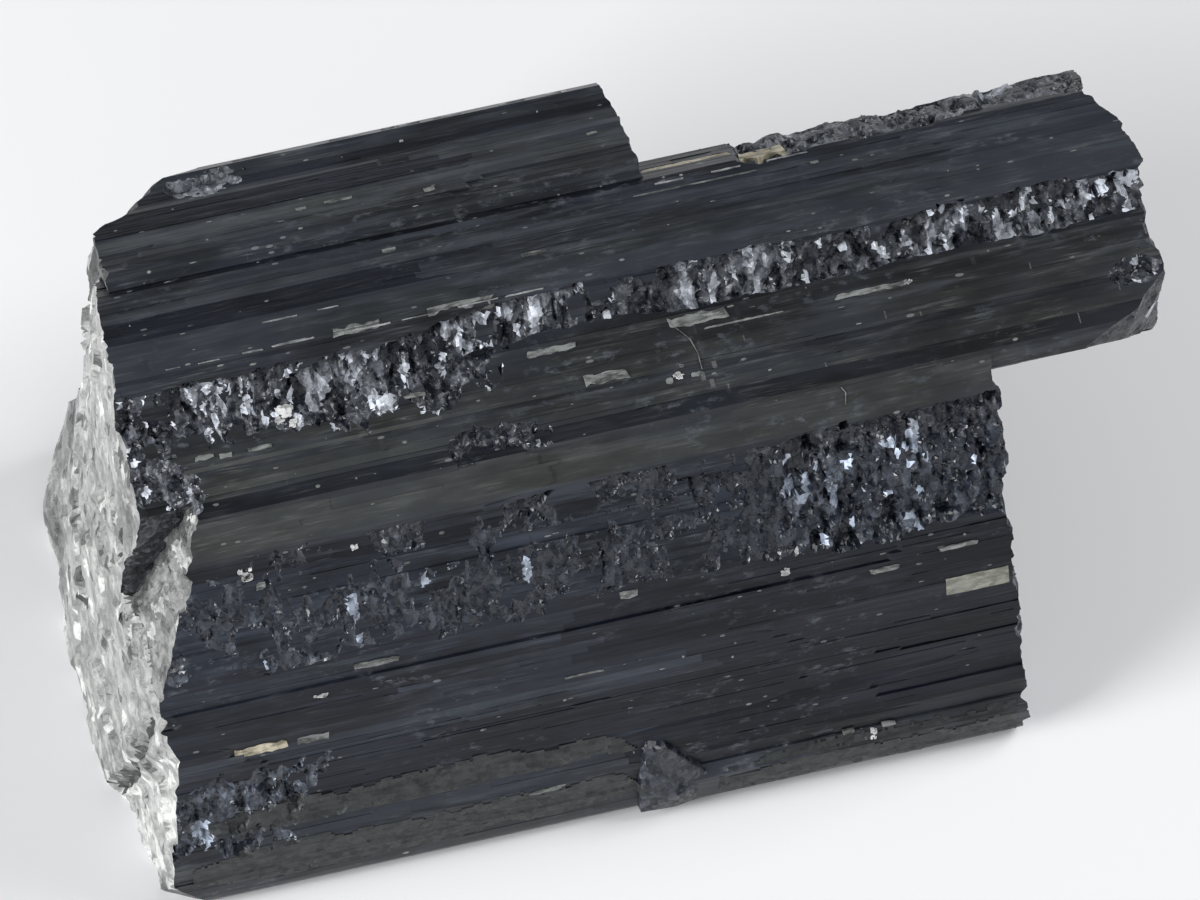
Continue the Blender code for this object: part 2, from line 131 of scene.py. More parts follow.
# Mineral plates on the face from a corner of a section, as (x, distance, length, width, finish)
PLATES = [
    (CORE, 8, [(-12.8, 0.10, 2.6, 0.45, "grey")]),
    (CORE, 7, [(-7.4, 2.15, 3.9, 0.30, "grey")]),
    (BACK, 7, [(-13.6, 3.27, 0.6, 0.30, "grey"), (-11.6, 3.18, 1.6, 0.30, "grey"),
               (-6.9, 4.07, 0.6, 0.45, "grey")]),
    (CORE, 5, [(-4.45, 0.43, 1.2, 0.25, "grey")]),
    (CORE, 6, [(-9.9, 1.10, 0.75, 0.35, "grey"), (-2.85, 3.95, 1.4, 0.35, "grey")]),
    (BACK, 7, [(2.3, 2.05, 0.6, 0.25, "grey")]),
    (BACK, 6, [(-7.3, 1.13, 0.25, 0.2, "white")]),
    (BACK, 5, [(1.8, 0.60, 0.25, 0.2, "white")]),
    (CORE, 6, [(12.8, 1.40, 0.45, 0.25, "grey"), (6.5, 0.99, 6.8, 0.08, "grey")]),
    (CORE, 5, [(10.5, 1.95, 2.6, 1.3, "cream"), (6.5, 1.70, 5.2, 0.45, "cream")]),
    (CORE, 9, [(-3.1, 0.45, 2.8, 0.45, "grey"), (4.8, 0.45, 3.3, 0.75, "grey"), (7.0, 1.07, 4.5, 0.12, "grey"),
               (14.0, 0.93, 4.4, 0.35, "grey"), (15.9, 0.93, 0.5, 0.3, "white"), (-0.6, 2.55, 2.4, 0.7, "grey"),
               (3.0, 3.30, 0.6, 0.5, "white"), (3.9, 3.45, 0.5, 0.3, "grey"), (2.5, 3.50, 0.4, 0.4, "grey"),
               (-10.5, 1.3, 1.2, 0.3, "grey"), (-21.8, 2.16, 1.1, 0.35, "grey"), (-20.7, 2.3, 0.7, 0.3, "grey"),
               (-18.9, 2.3, 1.4, 0.3, "grey"), (-17.3, 0.73, 1.25, 1.1, "white"),
               (-16.9, 1.3, 0.6, 0.5, "white")]),
    (FRONT, 7, [(-21.0, 1.27, 0.9, 0.8, "white"), (-20.3, 2.10, 0.5, 0.5, "grey"),
                (-15.2, 1.03, 0.4, 0.4, "white")]),
    (FRONT, 8, [(-15.0, 1.86, 2.6, 0.45, "grey"), (-18.1, 3.20, 0.8, 0.3, "white")]),
    (FRONT, 9, [(-21.6, 0.73, 3.0, 0.7, "cream"), (-18.8, 0.77, 1.8, 0.55, "grey")]),
    (FRONT, 8, [(17.1, 5.22, 3.4, 1.15, "pale"), (16.2, 2.50, 2.2, 0.3, "grey"), (12.2, 3.00, 1.7, 0.4, "grey"),
                (7.0, 1.80, 0.6, 0.5, "white")]),
    (FRONT, 9, [(-4.2, 0.40, 2.4, 0.15, "grey")]),
    (FRONT, 8, [(-1.4, 0.90, 1.0, 0.6, "grey")]),
    (FRONT, 11, [(-6.8, 0.28, 2.0, 0.4, "grey"), (9.6, 0.9, 0.7, 0.4, "grey"), (10.9, 1.3, 0.5, 0.5, "white"),
                 (11.8, 1.0, 0.8, 0.3, "grey")]),
]
PLATE_ROUGH, PALE_ROUGH, GRAIN_ROUGH = 0.6, 0.08, 0.8  # how ragged their outlines are
PLATE_RISE, PLATE_SINK, PLATE_STEP, PLATE_LEVEL = 0.05, 0.35, 0.3, 0.8
PROBE, NO_SURFACE, LEVEL_RANGE = 3.0, -0.3, (-1.2, 0.6)
WHITE_GRAINS, GRAIN_SPREAD, GRAIN_SIZE = 12, 0.35, (0.2, 0.5)
# Thin crusts, as (section, corner, x stops, distances of the upper edge, distances of the lower edge)
CRUSTS = [
    (FRONT, 10, (-24.8, -22.0, -15.0, -12.0, -3.0, -1.2, -0.6), (0.2, -0.2, -0.6, -0.9, 0.1, 1.2, 1.3),
     (0.9, 1.3, 1.2, 1.4, 1.3, 1.5, 1.35)),
    (FRONT, 11, (-26.0, -22.0, -10.0, -3.0, -1.6), (0.5, -0.2, 0.1, 0.3, 1.0), (2.0, 2.7, 2.4, 2.5, 1.4)),
    (FOOT, 4, (2.6, 6.0, 10.0, 13.0, 16.0, 18.8), (0.3, 0.05, 0.2, 0.0, 0.1, 0.0), (0.8,) * 6),
    (FOOT, 5, (2.4, 6.0, 10.0, 13.0, 16.0, 18.8), (0.0,) * 6, (1.2, 1.6, 1.5, 1.7, 1.8, 1.6)),
]
CRUST_CELL, CRUST_RISE = 0.16, 0.05
# Painted highlights on the edges of ledges, laid on as thin pale strips, as (section, corner, first x, last x,
# distance from the corner)
LEDGE_HIGHLIGHTS = [(CORE, 8, -22.5, -0.5, 0.08), (CORE, 7, -16.5, -12.5, 0.55), (CORE, 6, 5.2, 12.5, 0.35),
               (BACK, 5, -15.0, 3.0, 0.45)]
LINE_WIDTH, LINE_LENGTH, LINE_PITCH, LINE_DRIFT = 0.10, (0.5, 2.4), (1.0, 2.2), 0.05
# Thin pale cracks, as (section, corner, (x, distance) points)
FACE_CRACKS = [
    (CORE, 9, [(3.2, 0.26), (3.6, 0.8), (4.1, 1.5), (4.3, 2.3), (4.3, 3.25)]),
    (FRONT, 6, [(11.1, 0.2), (11.3, 0.55), (11.2, 1.15)]),
]
CRACK_LINE = 0.05
CRUMB_SIZE, CRUMB_LEAST, CRUMB_MOST = 0.09, (0.4, 0.3, 0.2), (2.6, 1.2, 0.4)
CRUMBS_PER_CM2, CLUMPS_PER_METRE, CRUMB_SEED = 9.0, 260.0, 12
CRUMBED, CRUMB_REACH = ("front_prism", "core_prism", "back_prism", "foot_ledge"), 0.01

# Where the growth faces at the front and the terrace above them lie across Y and Z, for their tints
FRONT_FACES = {"Back full": -8.6, "Back": -7.8}
FRONT_SLOPE = {"Foot": 4.0, "Foot full": 6.0}
TERRACE = {"Front": -8.0, "Front full": -7.4, "Back full": -1.2, "Back": 0.0}

# Camera: turned about the stone, with a long lens, at a distance that gives the frame its width
AZIMUTH, ELEVATION = math.radians(-14.1), math.radians(60.0)
AIM = Vector((-0.7, -1.3, 14.0)) * MM
LENS, SENSOR, FRAME_WIDTH = 300.0, 36.0, 63.16 * MM
LAMPS_AIM = Vector((0, 0, 0.012))
# Soft lights, as (name, place, size, power), in metres and watts
LAMPS = [
    ("left_window", (-0.38, -0.08, 0.16), 0.20, 2.2),
    ("right_softbox", (0.30, 0.02, 0.30), 0.25, 1.2),
    ("front_softbox", (0.05, -0.42, 0.20), 0.30, 0.15),
]

# Fixed numbers from whole ones
HASH_P, HASH_Q, HASH_SALT, HASH_MIX = 374761393, 668265263, 40503, 1274126177
WORD = 0xFFFFFFFF
PARTS = 0xFFFFFF

FACE_SLOT, BREAK_SLOT, PALE_SLOT = range(3)  # the stone's material slots
HELPERS = []


def scatter(i, j, salt):
    """A fixed number from 0 to 1 for each pair of whole numbers."""
    word = (i.astype(np.int64) * HASH_P + j.astype(np.int64) * HASH_Q + salt * HASH_SALT) & WORD
    word = ((word ^ (word >> 13)) * HASH_MIX) & WORD
    word = ((word ^ (word >> 15)) * HASH_P) & WORD
    return ((word ^ (word >> 16)) & PARTS) / PARTS


def chips(p, q, size, salt, step, tilt):
    """Height of a face broken into flat chips about size across, at most step apart in height."""
    i, j = np.floor(p / size), np.floor(q / size)
    nearest = np.full(np.shape(p), np.inf)
    height = np.zeros(np.shape(p))
    for di in (-1, 0, 1):
        for dj in (-1, 0, 1):
            ci, cj = i + di, j + dj
            from_p = p - (ci + scatter(ci, cj, salt)) * size
            from_q = q - (cj + scatter(ci, cj, salt + 1)) * size
            lean_p = tilt * (scatter(ci, cj, salt + 2) - 0.5)
            lean_q = tilt * (scatter(ci, cj, salt + 3) - 0.5)
            plane = step * (scatter(ci, cj, salt + 4) - 0.5) + lean_p * from_p + lean_q * from_q
            distance = from_p**2 + from_q**2
            closer = distance < nearest
            nearest = np.where(closer, distance, nearest)
            height = np.where(closer, plane, height)
    return height


def speckle(p, q, size, salt):
    """A number from 0 to 1 for each cell about size across."""
    return chips(p, q, size, salt, 1.0, 0.0) + 0.5


def ease(x, low, high):
    """From 0 at low to 1 at high, smoothly."""
    share = np.clip((x - low) / (high - low), 0, 1)
    return share * share * (3 - 2 * share)


def swell(p, size, salt):
    """A smooth wander from -0.5 to 0.5 along p, over about size."""
    whole = np.floor(p / size)
    still = np.zeros(np.shape(p))
    low, high = scatter(whole, still, salt), scatter(whole + 1, still, salt)
    return low + (high - low) * ease(p / size - whole, 0, 1) - 0.5


def glow(p, q, at_p, at_q, radius):
    """From 1 at a place down to 0 well away from it."""
    return np.exp(-((p - at_p) ** 2 + (q - at_q) ** 2) / radius**2)


def along(lean, at_p, at_q):
    """How far a place lies along a direction."""
    return lean[0] * at_p + lean[1] * at_q


def crack_distance(p, q, points):
    """How far each place is from a crack that runs through the points."""
    nearest = np.full(np.shape(p), np.inf)
    for (p1, q1), (p2, q2) in zip(points, points[1:]):
        run_p, run_q = p2 - p1, q2 - q1
        share = np.clip(((p - p1) * run_p + (q - q1) * run_q) / (run_p**2 + run_q**2), 0, 1)
        nearest = np.minimum(nearest, np.hypot(p - p1 - share * run_p, q - q1 - share * run_q))
    return nearest


def slope(low_corner, high_corner):
    """Unit (0, y, z) from one corner to another, and the distance between them."""
    run_y, run_z = high_corner[0] - low_corner[0], high_corner[1] - low_corner[1]
    length = math.hypot(run_y, run_z)
    return (0.0, run_y / length, run_z / length), length


def linked(name, data):
    """An object in the scene."""
    thing = bpy.data.objects.new(name, data)
    bpy.context.scene.collection.objects.link(thing)
    return thing


def closed_shape(name, points, faces=(), slots=(), tones=()):
    """A closed mesh with a material slot and a tone, from 0 black to 1 pale, on each face.

    Points with no faces give their hull, as a dark break.
    """
    mesh = bpy.data.meshes.new(name)
    mesh.from_pydata(((np.asarray(points, float) - MIDDLE) * MM).tolist(), [], faces)
    mesh.polygons.foreach_set("material_index", np.asarray(slots, np.int32))
    tone = mesh.attributes.new("tone", "FLOAT", "FACE")
    tone.data.foreach_set("value", np.asarray(tones, np.float32))
    shape = bmesh.new()
    shape.from_mesh(mesh)
    if not faces:
        bmesh.ops.convex_hull(shape, input=shape.verts)
        for face in shape.faces:
            face.material_index = BREAK_SLOT
            face[shape.faces.layers.float["tone"]] = HULL_TONE
    write_shape(shape, mesh, FINISHES)
    return linked(name, mesh)


def write_shape(shape, mesh, finishes):
    """Write triangles that face outwards to a mesh, and give it its finishes."""
    bmesh.ops.triangulate(shape, faces=shape.faces)
    bmesh.ops.recalc_face_normals(shape, faces=shape.faces)
    shape.to_mesh(mesh)
    shape.free()
    for finish in finishes:
        mesh.materials.append(finish)


def plain_mesh(thing):
    """The mesh that an object's modifiers make of it. The object is removed."""
    graph = bpy.context.evaluated_depsgraph_get()
    source = thing.evaluated_get(graph)
    mesh = bpy.data.meshes.new_from_object(source, preserve_all_data_layers=True, depsgraph=graph)
    bpy.data.objects.remove(thing)
    return mesh


def plate_ends(start, end, rng):
    """Where wide plates end along X."""
    count = round((end - start) / PLATE_LENGTH)
    pitch = (end - start) / count
    return [start + pitch * (k + rng.uniform(-0.3, 0.3)) for k in range(1, count)]


def plate_heights(count, rng, relief, change):
    """How far a lane stands out in each of its plates."""
    heights = [rng.uniform(-relief, relief)]
    for _ in range(count - 1):
        heights.append(rng.uniform(-relief, relief) if rng.random() < change else heights[-1])
    return heights


def lane_edges(low, room, width, spread, rng):
    """Distances along a face, from low on, at which its lanes of about a width meet."""
    shares = [rng.uniform(*spread) for _ in range(max(1, round(room / width)))]
    edges = [low]
    for share in shares:
        edges.append(edges[-1] + room * share / sum(shares))
    return edges


def fine_stations(start, end, ends, rng):
    """(x, wide plate, fine plate, share of the stagger) of each station along X."""
    breaks = [(x, PLATE_END, True) for x in ends]
    x = start
    while x < end - FINE_PLATE:
        x += FINE_PLATE * rng.uniform(0.6, 1.4)
        if all(abs(x - wide) > PLATE_GAP for wide in ends) and x < end - END_GAP:
            breaks.append((x, FINE_END, False))
    stations = [(start, 0, 0, 0.0)]
    wide = 0
    for fine, (x, half, is_wide) in enumerate(sorted(breaks)):
        share = min(1.0, (x - start) / STAGGER_EASE, (end - x) / STAGGER_EASE)
        stations.append((x - half, wide, fine, share))
        wide += is_wide
        stations.append((x + half, wide, fine + 1, share))
    stations.append((end, wide, len(breaks), 0.0))
    return stations


def prism(name, corners, start, end, seed, tone, stripes, flat_faces=()):
    """A striated prism. Flat faces have no lanes.

    tone gives how pale the face from each corner is, as (left of x, right of x, x), which is painted sheen.
    stripes gives the paler and darker stripes of painted sheen on a face, as (from distance, to distance, from
    x, to x, times the tone).
    """
    rng, fine = random.Random(seed), random.Random(seed + 100)
    ends = plate_ends(start, end, rng)
    stations = fine_stations(start, end, ends, fine)
    plates = stations[-1][2] + 1
    outline, tones = [], []
    for k, (y, z) in enumerate(corners):
        face_tone = tone.get(k, PLAIN_TONE)
        outline.append((y, z, 0.0, 0.0, [0.0] * (len(ends) + 1), [0.0] * plates, 0.0))
        tones.append((face_tone, 1.0, ()))
        (_, run_y, run_z), length = slope(corners[k], corners[(k + 1) % len(corners)])
        if k in flat_faces or length < 2 * LANE_MARGIN + LEAST_LANES:
            continue
        edges = lane_edges(LANE_MARGIN, length - 2 * LANE_MARGIN, LANE_WIDTH, LANE_SHARE, rng)
        for low, high in zip(edges, edges[1:]):
            heights = plate_heights(len(ends) + 1, rng, LANE_RELIEF, PLATE_CHANGE)
            stagger = fine.uniform(-PLATE_STAGGER, PLATE_STAGGER)
            finer = lane_edges(low, high - low, FINE_WIDTH, FINE_SHARE, fine)
            for sides in zip(finer, finer[1:]):
                ripple = plate_heights(plates, fine, FINE_RELIEF, FINE_CHANGE)
                shift = stagger + fine.uniform(-FINE_STAGGER, FINE_STAGGER)
                shade = 1 + fine.uniform(-SHADE_SPREAD, SHADE_SPREAD)
                middle = 0.5 * sum(sides)
                across = [stripe[2:] for stripe in stripes.get(k, ()) if stripe[0] < middle < stripe[1]]
                for s in sides:
                    outline.append((y + run_y * s, z + run_z * s, run_z, -run_y, heights, ripple, shift))
                    tones.append((face_tone, shade, across))
    points = []
    for x, wide, plate, share in stations:
        for y, z, out_y, out_z, heights, ripple, shift in outline:
            height = heights[wide] + ripple[plate]
            points.append((x + share * shift, y + out_y * height, z + out_z * height))
    n = len(outline)
    faces = [list(range(n))[::-1], list(range(n * (len(stations) - 1), n * len(stations)))]
    shades = [PLAIN_TONE[0]] * 2
    for station, (x, *_) in enumerate(stations[:-1]):
        for k, ((left, right, change), shade, across) in enumerate(tones):
            a, b = station * n + k, station * n + (k + 1) % n
            faces.append([a, b, b + n, a + n])
            for first, last, times_tone in across:
                if first < x < last:
                    shade *= times_tone
            shades.append(shade * (left if x < change else right))
    return closed_shape(name, points, faces, [FACE_SLOT] * len(faces), shades)


def cutter(name, axes, p_span, q_span, cell, height, reach, tone, slot=BREAK_SLOT, wall=WALL_TONE,
           at=(0, 0, 0)):
    """A block that takes off what lies outside a broken face.

    The face is height(p, q) above the plane of the axes p and q through a place, measured along p x q, and the
    block reaches outwards from it. tone(p, q) gives how pale each chip is.
    """
    p_axis, q_axis = np.array(axes, float)
    out = np.cross(p_axis, q_axis)
    count_p = round((p_span[1] - p_span[0]) / cell) + 1
    count_q = round((q_span[1] - q_span[0]) / cell) + 1
    p, q = np.meshgrid(np.linspace(*p_span, count_p), np.linspace(*q_span, count_q), indexing="ij")
    i, j = np.meshgrid(np.arange(count_p), np.arange(count_q), indexing="ij")
    inside_p, inside_q = (i > 0) & (i < count_p - 1), (j > 0) & (j < count_q - 1)
    salt = len(name)
    p = p + np.where(inside_p, CELL_SCATTER * cell * (scatter(i, j, salt) - 0.5), 0)
    q = q + np.where(inside_q, CELL_SCATTER * cell * (scatter(i, j, salt + 1) - 0.5), 0)
    h = np.minimum(height(p, q), reach - WALL)
    face = np.array(at) + p[..., None] * p_axis + q[..., None] * q_axis + h[..., None] * out
    number = np.arange(count_p * count_q).reshape(count_p, count_q)
    a, b, c, d = (number[:-1, :-1], number[1:, :-1], number[1:, 1:], number[:-1, 1:])
    odd = ((i + j)[:-1, :-1] % 2 == 1)[..., None]
    first = np.where(odd, np.stack([a, b, c], -1), np.stack([a, b, d], -1)).reshape(-1, 3)
    second = np.where(odd, np.stack([a, c, d], -1), np.stack([b, c, d], -1)).reshape(-1, 3)
    triangles = np.concatenate([first, second])
    tones = tone(p.reshape(-1)[triangles].mean(1), q.reshape(-1)[triangles].mean(1)).tolist()
    faces = triangles.tolist()
    points = face.reshape(-1, 3).tolist()
    far = len(points)
    for pp, qq in ((0, 0), (1, 0), (1, 1), (0, 1)):
        points.append((np.array(at) + p_span[pp] * p_axis + q_span[qq] * q_axis + reach * out).tolist())
    for side, rim in enumerate((number[:, 0], number[-1, :], number[::-1, -1], number[0, ::-1])):
        faces.append(rim.tolist() + [far + (side + 1) % 4, far + side])
    faces.append([far, far + 1, far + 2, far + 3])
    slots = [slot] * len(triangles) + [BREAK_SLOT] * 5
    return closed_shape(name, points, faces, slots, tones + [wall] * 5)


def combine(body, operation, *helpers):
    """Join helpers to a body or cut them out of it, one after another."""
    for helper in helpers:
        step = body.modifiers.new(helper.name, "BOOLEAN")
        step.operation = operation
        step.object = helper
        step.solver = "MANIFOLD"
        step.material_mode = "TRANSFER"
        HELPERS.append(helper)


def broken(step, tilt, salt, rough=1.0):
    """Relief of a break: coarse chips with finer and finer chips on them."""

    def relief(p, q):
        coarse = chips(p, q, COARSE_CHIP, salt, step, tilt)
        fine = chips(p, q, FINE_CHIP, salt + 11, 0.45 * step, 1.5 * tilt)
        small = chips(p, q, SMALL_CHIP, salt + 21, 0.07 * rough, 0.15 * rough)
        return coarse + fine + small + chips(p, q, GRIT, salt + 31, 0.04 * rough, 0.15 * rough)

    return relief


def past_split(z, y):
    """How far a place on the left end lies above its split."""
    return SPLIT_NORMAL[0] * (y - SPLIT_AT[0]) + SPLIT_NORMAL[1] * (z - SPLIT_AT[1])


def left_break(z, y):
    """The left end leans back towards the top and the back, and its low front corner has split off."""
    curve = END_CURVE_FRONT * np.minimum(y, 0) ** 2 + END_CURVE_BACK * np.maximum(y, 0) ** 2
    from_z, from_y = (z - BULGE_AT[1]) / BULGE_SPREAD[1], (y - BULGE_AT[0]) / BULGE_SPREAD[0]
    plane = -LEFT_BREAK - END_LEAN * z - curve + BULGE * np.exp(-(from_z**2) - from_y**2)
    split = SPLIT_DEPTH * np.clip(0.5 - past_split(z, y), 0, 1)
    foot = FOOT_CORNER_SLOPE * np.maximum(-along(CORNER_LEAN, y, z) - FOOT_CORNER_AT, 0)
    near = [np.clip(1 - crack_distance(z, y, crack) / GROOVE_WIDTH, 0, 1) for crack in END_CRACKS]
    return plane - split - GROOVE_DEPTH * sum(near) - foot + broken(0.5, 0.08, 20, 0.6)(z, y)


def back_left_break(z, y):
    """The back prism breaks off shorter, with its top back corner gone and its foot standing out."""
    corner = np.maximum(along(BACK_CORNER_LEAN, y, z) - BACK_CORNER_AT, 0)
    corner = corner + np.minimum(corner, 1) * (0.5 + chips(z, y, 1.5, 35, 1.2, 0.4))
    proud = BACK_STEP * ease(BACK_STEP_AT - along(CORNER_LEAN, y, z), 0.0, BACK_STEP_WIDTH)
    return -BACK_LEFT + BACK_SHORT - BACK_LEAN * z - corner + proud + broken(0.7, 0.16, 30)(z, y)


def right_break(offset, salt, step=0.9):
    """A right end: flat chips about a plane across the prism."""
    return lambda y, z: offset + broken(step, 0.2, salt)(y, z)


def core_right_break(y, z):
    """The long prism's end, broken back along its front and back edges."""
    front_corner = np.maximum(CORE_FRONT_CORNER - y, 0) + 2.4 * np.maximum(CORE_FRONT_TIP - y, 0)
    back_corner = 0.45 * np.clip(y - CORE_BACK_CORNER, 0, 1.9)
    return CORE_RIGHT - CORE_SHORT - front_corner - back_corner + broken(0.7, 0.16, 40)(y, z)


def band_break(low, high, salt, depth, step, foot=(0.7, 1.1), head=(0.7, 1.1), ends=(-FAR, FAR), end_rise=1.0,
               drop=(0.0, 0.0, 1.0), calm=(0.0, -FAR, 1 - FAR)):
    """A rough band along X from low to high across it, fading out at its wandering edges and its ends.

    foot and head are how far each edge wanders and how steeply it rises. The band lies drop[0] lower left of
    drop[1], going over to its own height at drop[2]. calm is its roughness left of calm[1], going over to 1 at
    calm[2].
    """

    def face(x, q):
        lower = drop[0] * (1 - ease(x, drop[1], drop[2]))
        rough = calm[0] + (1 - calm[0]) * ease(x, calm[1], calm[2])
        foot_at = low - lower + foot[0] * (swell(x, 6.0, salt) + 0.5 * swell(x, 1.7, salt + 1))
        head_at = high - lower + head[0] * (swell(x, 7.0, salt + 2) + 0.5 * swell(x, 1.9, salt + 3))
        climb = foot[1] * np.maximum(foot_at - q, 0) + head[1] * np.maximum(q - head_at, 0)
        climb = climb + end_rise * (np.maximum(ends[0] - x, 0) + np.maximum(x - ends[1], 0))
        chunky = chips(x, q, 2.4, salt + 4, 0.6 * step, 0.3)
        narrow = chips(x * 1.8, q, 1.5, salt + 5, 0.35 * step, 0.3)
        columns = chips(x * COLUMN_SLIM, q, COLUMN_HEIGHT, COLUMN_SALT, 0.2, 0.28)
        return depth * (0.6 - 1.6 * rough) + rough * (chunky + narrow + columns) + climb

    return face


def dark_tone(level=0.12, share=0.06, slim=COLUMN_SLIM, spots=()):
    """Tone of a dark break: upright columns at about a level, with a share of pale ones and white glints, which
    are painted highlights.

    level is a number, or (p, level) stops. There are more pale columns and glints at the bright spots,
    (p, q, radius). slim is how narrow the columns are.
    """

    def tone(p, q):
        near = np.zeros(np.shape(p))
        for spot in spots:
            near = np.maximum(near, glow(p, q, *spot))
        odds = share + 0.22 * near
        column = speckle(p * slim, q, COLUMN_HEIGHT, COLUMN_SALT)
        chip = speckle(p * 0.75 * slim, q * 1.3, 0.75, 505)
        clump = speckle(p * 0.8, q, 1.3, 506)
        base = np.interp(p, *zip(*level)) if isinstance(level, list) else level
        # Painted highlights: columns paler near the glint spots, pale columns and white chips where chips catch
        # the light.
        made = base * (0.1 + 1.1 * column**2 + 0.7 * chip**2 + 0.9 * clump**2) * (1 + near)
        made = np.where(column > 1 - odds, 0.32 + 0.35 * chip, made)
        return np.where(chip > 1 - 0.45 * odds, 1.0, made)

    return tone


def pale_tone(p, q):
    """Tone of the pale end: light grey, partly painted reflection of the light on the black break and partly
    paler crushed grains, with painted shade in small pits and a few painted white glints.
    """
    grain = 0.46 + 0.12 * (speckle(p, q, 1.6, 601) - 0.5) + 0.14 * (speckle(p, q, 0.8, 602) - 0.5)
    # Painted shade in small pits, and a few painted white glints.
    pit = speckle(p * 0.7, q * 1.3, 0.6, 603) < 0.06
    glint = speckle(p, q, 0.7, 604) > 0.95
    return np.clip(grain - 0.25 * pit + 0.4 * glint, 0, 1)


def left_tone(z, y):
    """Tone of the left end: pale, with painted shade in its pits and cracks, on its chipped foot corner and
    where it turns from the light, and painted glints on the strip below the split.
    """
    tone = pale_tone(z, y)
    # Painted glints on the strip below the split.
    painted_glints = 0.05 + 0.4 * (speckle(z, y, 0.7, 611) > 0.7)
    tone = np.where(past_split(z, y) < 0, np.clip(tone + painted_glints, 0, 1), tone)
    ragged = 0.2 + 1.3 * speckle(z, y, 0.6, 612)
    # Painted shade in the grooves along the cracks.
    for crack in END_CRACKS:
        tone = np.where(crack_distance(z, y, crack) < CRACK_WIDTH * ragged, 0.07, tone)
    # Painted shade on the chipped foot corner, which turns away from the light.
    chipped = 0.5 * speckle(z, y, 0.9, 613) - along(CORNER_LEAN, y, z)
    tone = np.where(chipped > FOOT_CORNER_AT + 0.35, 0.35 * tone, tone)
    # Painted shade in its pits.
    for pit_z, pit_y, radius in SHADED_PITS:
        tone = np.where(np.hypot(z - pit_z, y - pit_y) < radius * ragged, 0.05, tone)
    # Painted shade where the end turns away from the light.
    for spot in SHADED_SPOTS:
        tone = tone * (1 - 0.6 * glow(z, y, *spot))
    return tone


def back_tone(z, y):
    """Tone of the back prism's left end: dark along its top, pale below."""
    pale = pale_tone(z, y)
    height = along(BACK_PALE_LEAN, y, z) + 1.2 * (speckle(z, y, 1.1, 631) - 0.5)
    return np.where(height < BACK_PALE_BELOW, pale, 0.12 * pale)


def flake_tone(p, q):
    """Tone of the lost flake's bed: less pale than the end, and darker towards its foot by the wall that stands
    over it, where shade is painted.
    """
    tone = 0.75 * pale_tone(p, q) - 0.12 * (speckle(p, q, 1.2, 621) < 0.4)
    # Painted shade in the crevice along the wall over the bed.
    return np.clip(np.where(p < 0.35 - FLAKE_WALL + 0.5 * speckle(p, q, 0.8, 622), 0.04, tone), 0, 1)


def right_end(name, at, y_span, z_span, face, tone):
    """Cutter for the right end of a prism."""
    return cutter(name, RIGHTWARDS, y_span, z_span, END_CELL, face, at + END_REACH, tone)


def band(name, low_corner, high_corner, x_span, face, tone, below=2.6, above=2.0):
    """Cutter for a rough band on the face between two corners of a cross-section."""
    up, length = slope(low_corner, high_corner)
    return cutter(name, ((1, 0, 0), up), x_span, (-below, length + above), BAND_CELL, face, 4.0, tone,
                  at=(0, *low_corner))


def pit(name, at, up, length, width, depth, salt, tone):
    """Cutter for a shallow pit with a wandering rim, centred at a point on a face that rises along up."""

    def face(p, q):
        far = (2 * p / length) ** 2 + (2 * q / width) ** 2
        rough = chips(p, q, 1.3, salt, 0.35, 0.3) + chips(p, q, 0.5, salt + 1, 0.15, 0.8)
        return depth * (far - 1) + rough

    half_p, half_q = 0.75 * length, 0.75 * width
    return cutter(name, ((1, 0, 0), (0, *up)), (-half_p, half_p), (-half_q, half_q), PIT_CELL, face, 3.0, tone,
                  at=at)


def corner_flake():
    """The flake lost from the corner between the left end and the front, with the end standing over it."""
    out, up = (np.array(way) / np.linalg.norm(way) for way in (FLAKE_OUT, FLAKE_UP))
    up = up - out * np.dot(out, up)

    def face(p, q):
        wide, small = chips(p, q, 2.6, 15, 0.5, 0.2), chips(p, q, 0.9, 16, 0.12, 0.25)
        return wide + small + chips(p, q, 0.45, 17, 0.05, 0.3)

    return cutter("corner_flake", (np.cross(up, out), up), (-FLAKE_WALL, 8.5), (-9.0, 10.0), FLAKE_CELL, face,
                  7.0, flake_tone, PALE_SLOT, FLAKE_WALL_TONE, FLAKE_AT)


